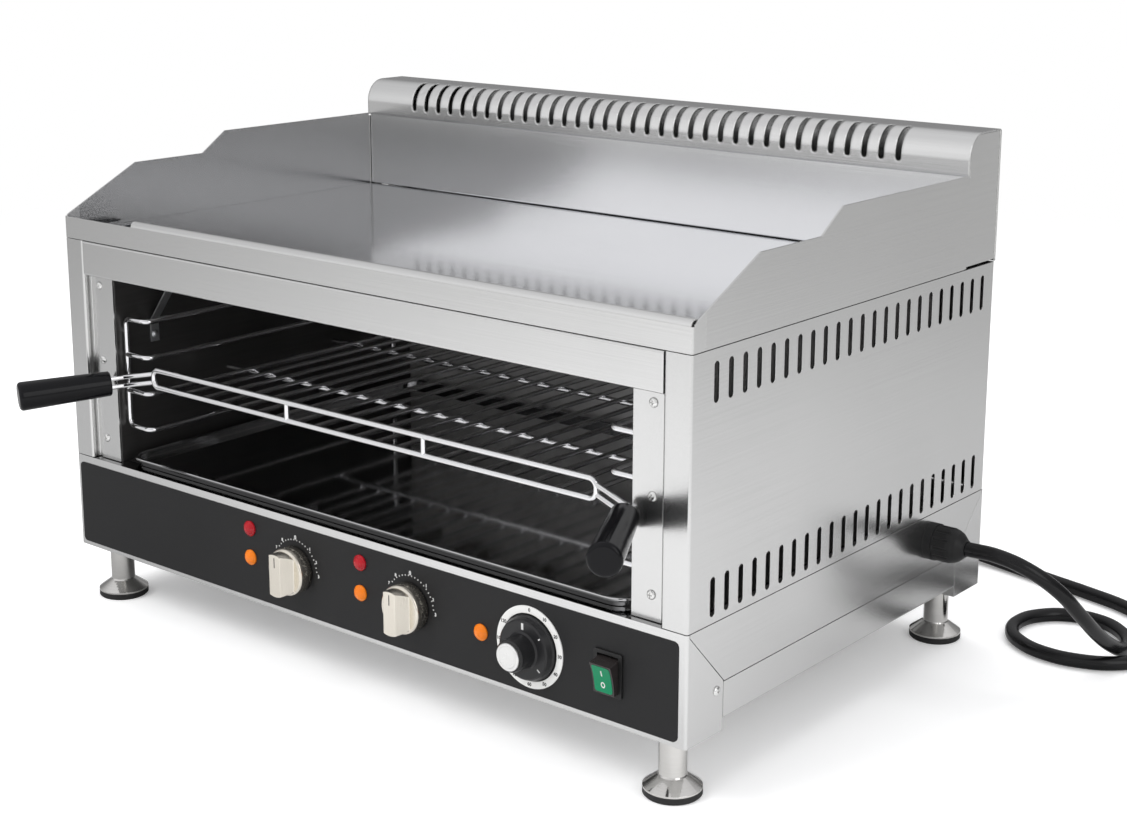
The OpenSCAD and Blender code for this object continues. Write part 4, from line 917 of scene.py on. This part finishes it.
# Brightness by compass share, as a ramp of greys
def addTone(tree, spot, stops):
    around = addNode(tree, "ShaderNodeGroup", node_tree=compassShare)
    tree.links.new(spot, around.inputs["Vector"])
    ramp = addNode(tree, "ShaderNodeValToRGB")
    ramp.color_ramp.interpolation = "B_SPLINE"
    while len(ramp.color_ramp.elements) < len(stops):
        ramp.color_ramp.elements.new(0.5)  # the loop below moves it to its place
    for element, (at, value) in zip(ramp.color_ramp.elements, stops):
        element.position = at
        element.color = (value, value, value, 1)
    tree.links.new(around.outputs["Share"], ramp.inputs["Fac"])
    return ramp.outputs["Color"]


def makeFloor(s):
    mesh = bmesh.new()
    bmesh.ops.create_circle(mesh, cap_ends=True, segments=s["floorSteps"], radius=s["floorRadius"])
    data = bpy.data.meshes.new("floor")
    mesh.to_mesh(data)
    mesh.free()
    floor = bpy.data.objects.new("floor", data)
    bpy.context.scene.collection.objects.link(floor)
    material = bpy.data.materials.new("floorPale")
    material.use_nodes = True
    tree = material.node_tree
    tree.nodes.clear()
    link = tree.links.new
    out = addNode(tree, "ShaderNodeOutputMaterial")
    spot = addNode(tree, "ShaderNodeTexCoord")
    tone = addTone(tree, spot.outputs["Object"], s["floorTone"])
    path = addNode(tree, "ShaderNodeLightPath")
    far = addNode(tree, "ShaderNodeVectorMath", operation="LENGTH")
    fade = addNode(tree, "ShaderNodeMapRange", interpolation_type="SMOOTHSTEP")
    setRange(fade, "From", s["floorFade"])
    shade = addNode(tree, "ShaderNodeMix", data_type="RGBA")
    shade.inputs["B"].default_value = s["floorSeen"]
    matt = addNode(tree, "ShaderNodeBsdfPrincipled")
    matt.inputs["Roughness"].default_value = s["floorRoughness"]
    matt.inputs["Emission Color"].default_value = (1, 1, 1, 1)
    lift = addNode(tree, "ShaderNodeMath", operation="MULTIPLY")
    lift.inputs[1].default_value = s["floorLift"]
    distant = addNode(tree, "ShaderNodeMix", data_type="RGBA")
    distant.inputs["B"].default_value = (1, 1, 1, 1)
    plain = addNode(tree, "ShaderNodeEmission")
    mix = addNode(tree, "ShaderNodeMixShader")
    link(spot.outputs["Object"], far.inputs[0])
    link(far.outputs["Value"], fade.inputs["Value"])
    link(fade.outputs["Result"], mix.inputs["Fac"])
    link(path.outputs["Is Camera Ray"], shade.inputs["Factor"])
    link(tone, shade.inputs["A"])
    link(shade.outputs["Result"], matt.inputs["Base Color"])
    link(path.outputs["Is Camera Ray"], lift.inputs[0])
    link(lift.outputs["Value"], matt.inputs["Emission Strength"])
    link(path.outputs["Is Camera Ray"], distant.inputs["Factor"])
    link(tone, distant.inputs["A"])
    link(distant.outputs["Result"], plain.inputs["Color"])
    link(matt.outputs["BSDF"], mix.inputs[1])
    link(plain.outputs["Emission"], mix.inputs[2])
    link(mix.outputs["Shader"], out.inputs["Surface"])
    floor.data.materials.append(material)


def makeWorld(s):
    world = bpy.data.worlds.new("studio")
    bpy.context.scene.world = world
    world.use_nodes = True
    tree = world.node_tree
    tree.nodes.clear()
    link = tree.links.new
    out = addNode(tree, "ShaderNodeOutputWorld")
    seen = addNode(tree, "ShaderNodeBackground")
    seen.inputs["Color"].default_value = (1, 1, 1, 1)
    lit = addNode(tree, "ShaderNodeBackground")
    lit.inputs["Strength"].default_value = s["worldStrength"]
    spot = addNode(tree, "ShaderNodeTexCoord")
    around = addTone(tree, spot.outputs["Generated"], s["worldTone"])
    split = addNode(tree, "ShaderNodeSeparateXYZ")
    height = addNode(tree, "ShaderNodeMapRange", interpolation_type="SMOOTHSTEP")
    setRange(height, "From", s["worldRise"])
    low = addNode(tree, "ShaderNodeMix", data_type="RGBA", blend_type="MULTIPLY")
    low.inputs["Factor"].default_value = 1.0
    low.inputs["A"].default_value = s["worldLow"]
    tone = addNode(tree, "ShaderNodeMix", data_type="RGBA")
    tone.inputs["B"].default_value = s["worldHigh"]
    path = addNode(tree, "ShaderNodeLightPath")
    mix = addNode(tree, "ShaderNodeMixShader")
    link(spot.outputs["Generated"], split.inputs["Vector"])
    link(split.outputs["Z"], height.inputs["Value"])
    link(height.outputs["Result"], tone.inputs["Factor"])
    link(around, low.inputs["B"])
    link(low.outputs["Result"], tone.inputs["A"])
    link(tone.outputs["Result"], lit.inputs["Color"])
    link(path.outputs["Is Camera Ray"], mix.inputs["Fac"])
    link(lit.outputs["Background"], mix.inputs[1])
    link(seen.outputs["Background"], mix.inputs[2])
    link(mix.outputs["Shader"], out.inputs["Surface"])


# The key light and its glint share a place: the weaker one alone shows in reflections
softboxes = {
    "keyFront": {"at": (-0.9, -1.7, 2.2), "aim": (0, 0, 0.2), "size": (1.6, 1.2), "power": 19,
                 "mirrored": False},
    "glintFront": {"at": (-0.9, -1.7, 2.2), "aim": (0, 0, 0.2), "size": (1.6, 1.2), "power": 16},
    "fillRight": {"at": (2.2, -0.6, 1.2), "aim": (0, 0, 0.2), "size": (1.2, 1.6), "power": 9},
    "topRear": {"at": (0.0, 0.9, 2.2), "aim": (0, 0, 0.3), "size": (2.0, 1.0), "power": 18,
                "mirrored": False},
}


def makeLights(boxes):
    for name, s in boxes.items():
        data = bpy.data.lights.new(name, "AREA")
        data.shape = "RECTANGLE"
        data.size, data.size_y = s["size"]
        data.energy = s["power"]
        light = bpy.data.objects.new(name, data)
        light.location = s["at"]
        light.visible_glossy = s.get("mirrored", True)
        aim = Vector(s["aim"]) - Vector(s["at"])
        light.rotation_euler = aim.to_track_quat("-Z", "Y").to_euler()
        bpy.context.scene.collection.objects.link(light)


makeFloor(studio)
makeWorld(studio)
makeLights(softboxes)
bpy.context.scene.view_settings.view_transform = "Standard"
print("studio made")
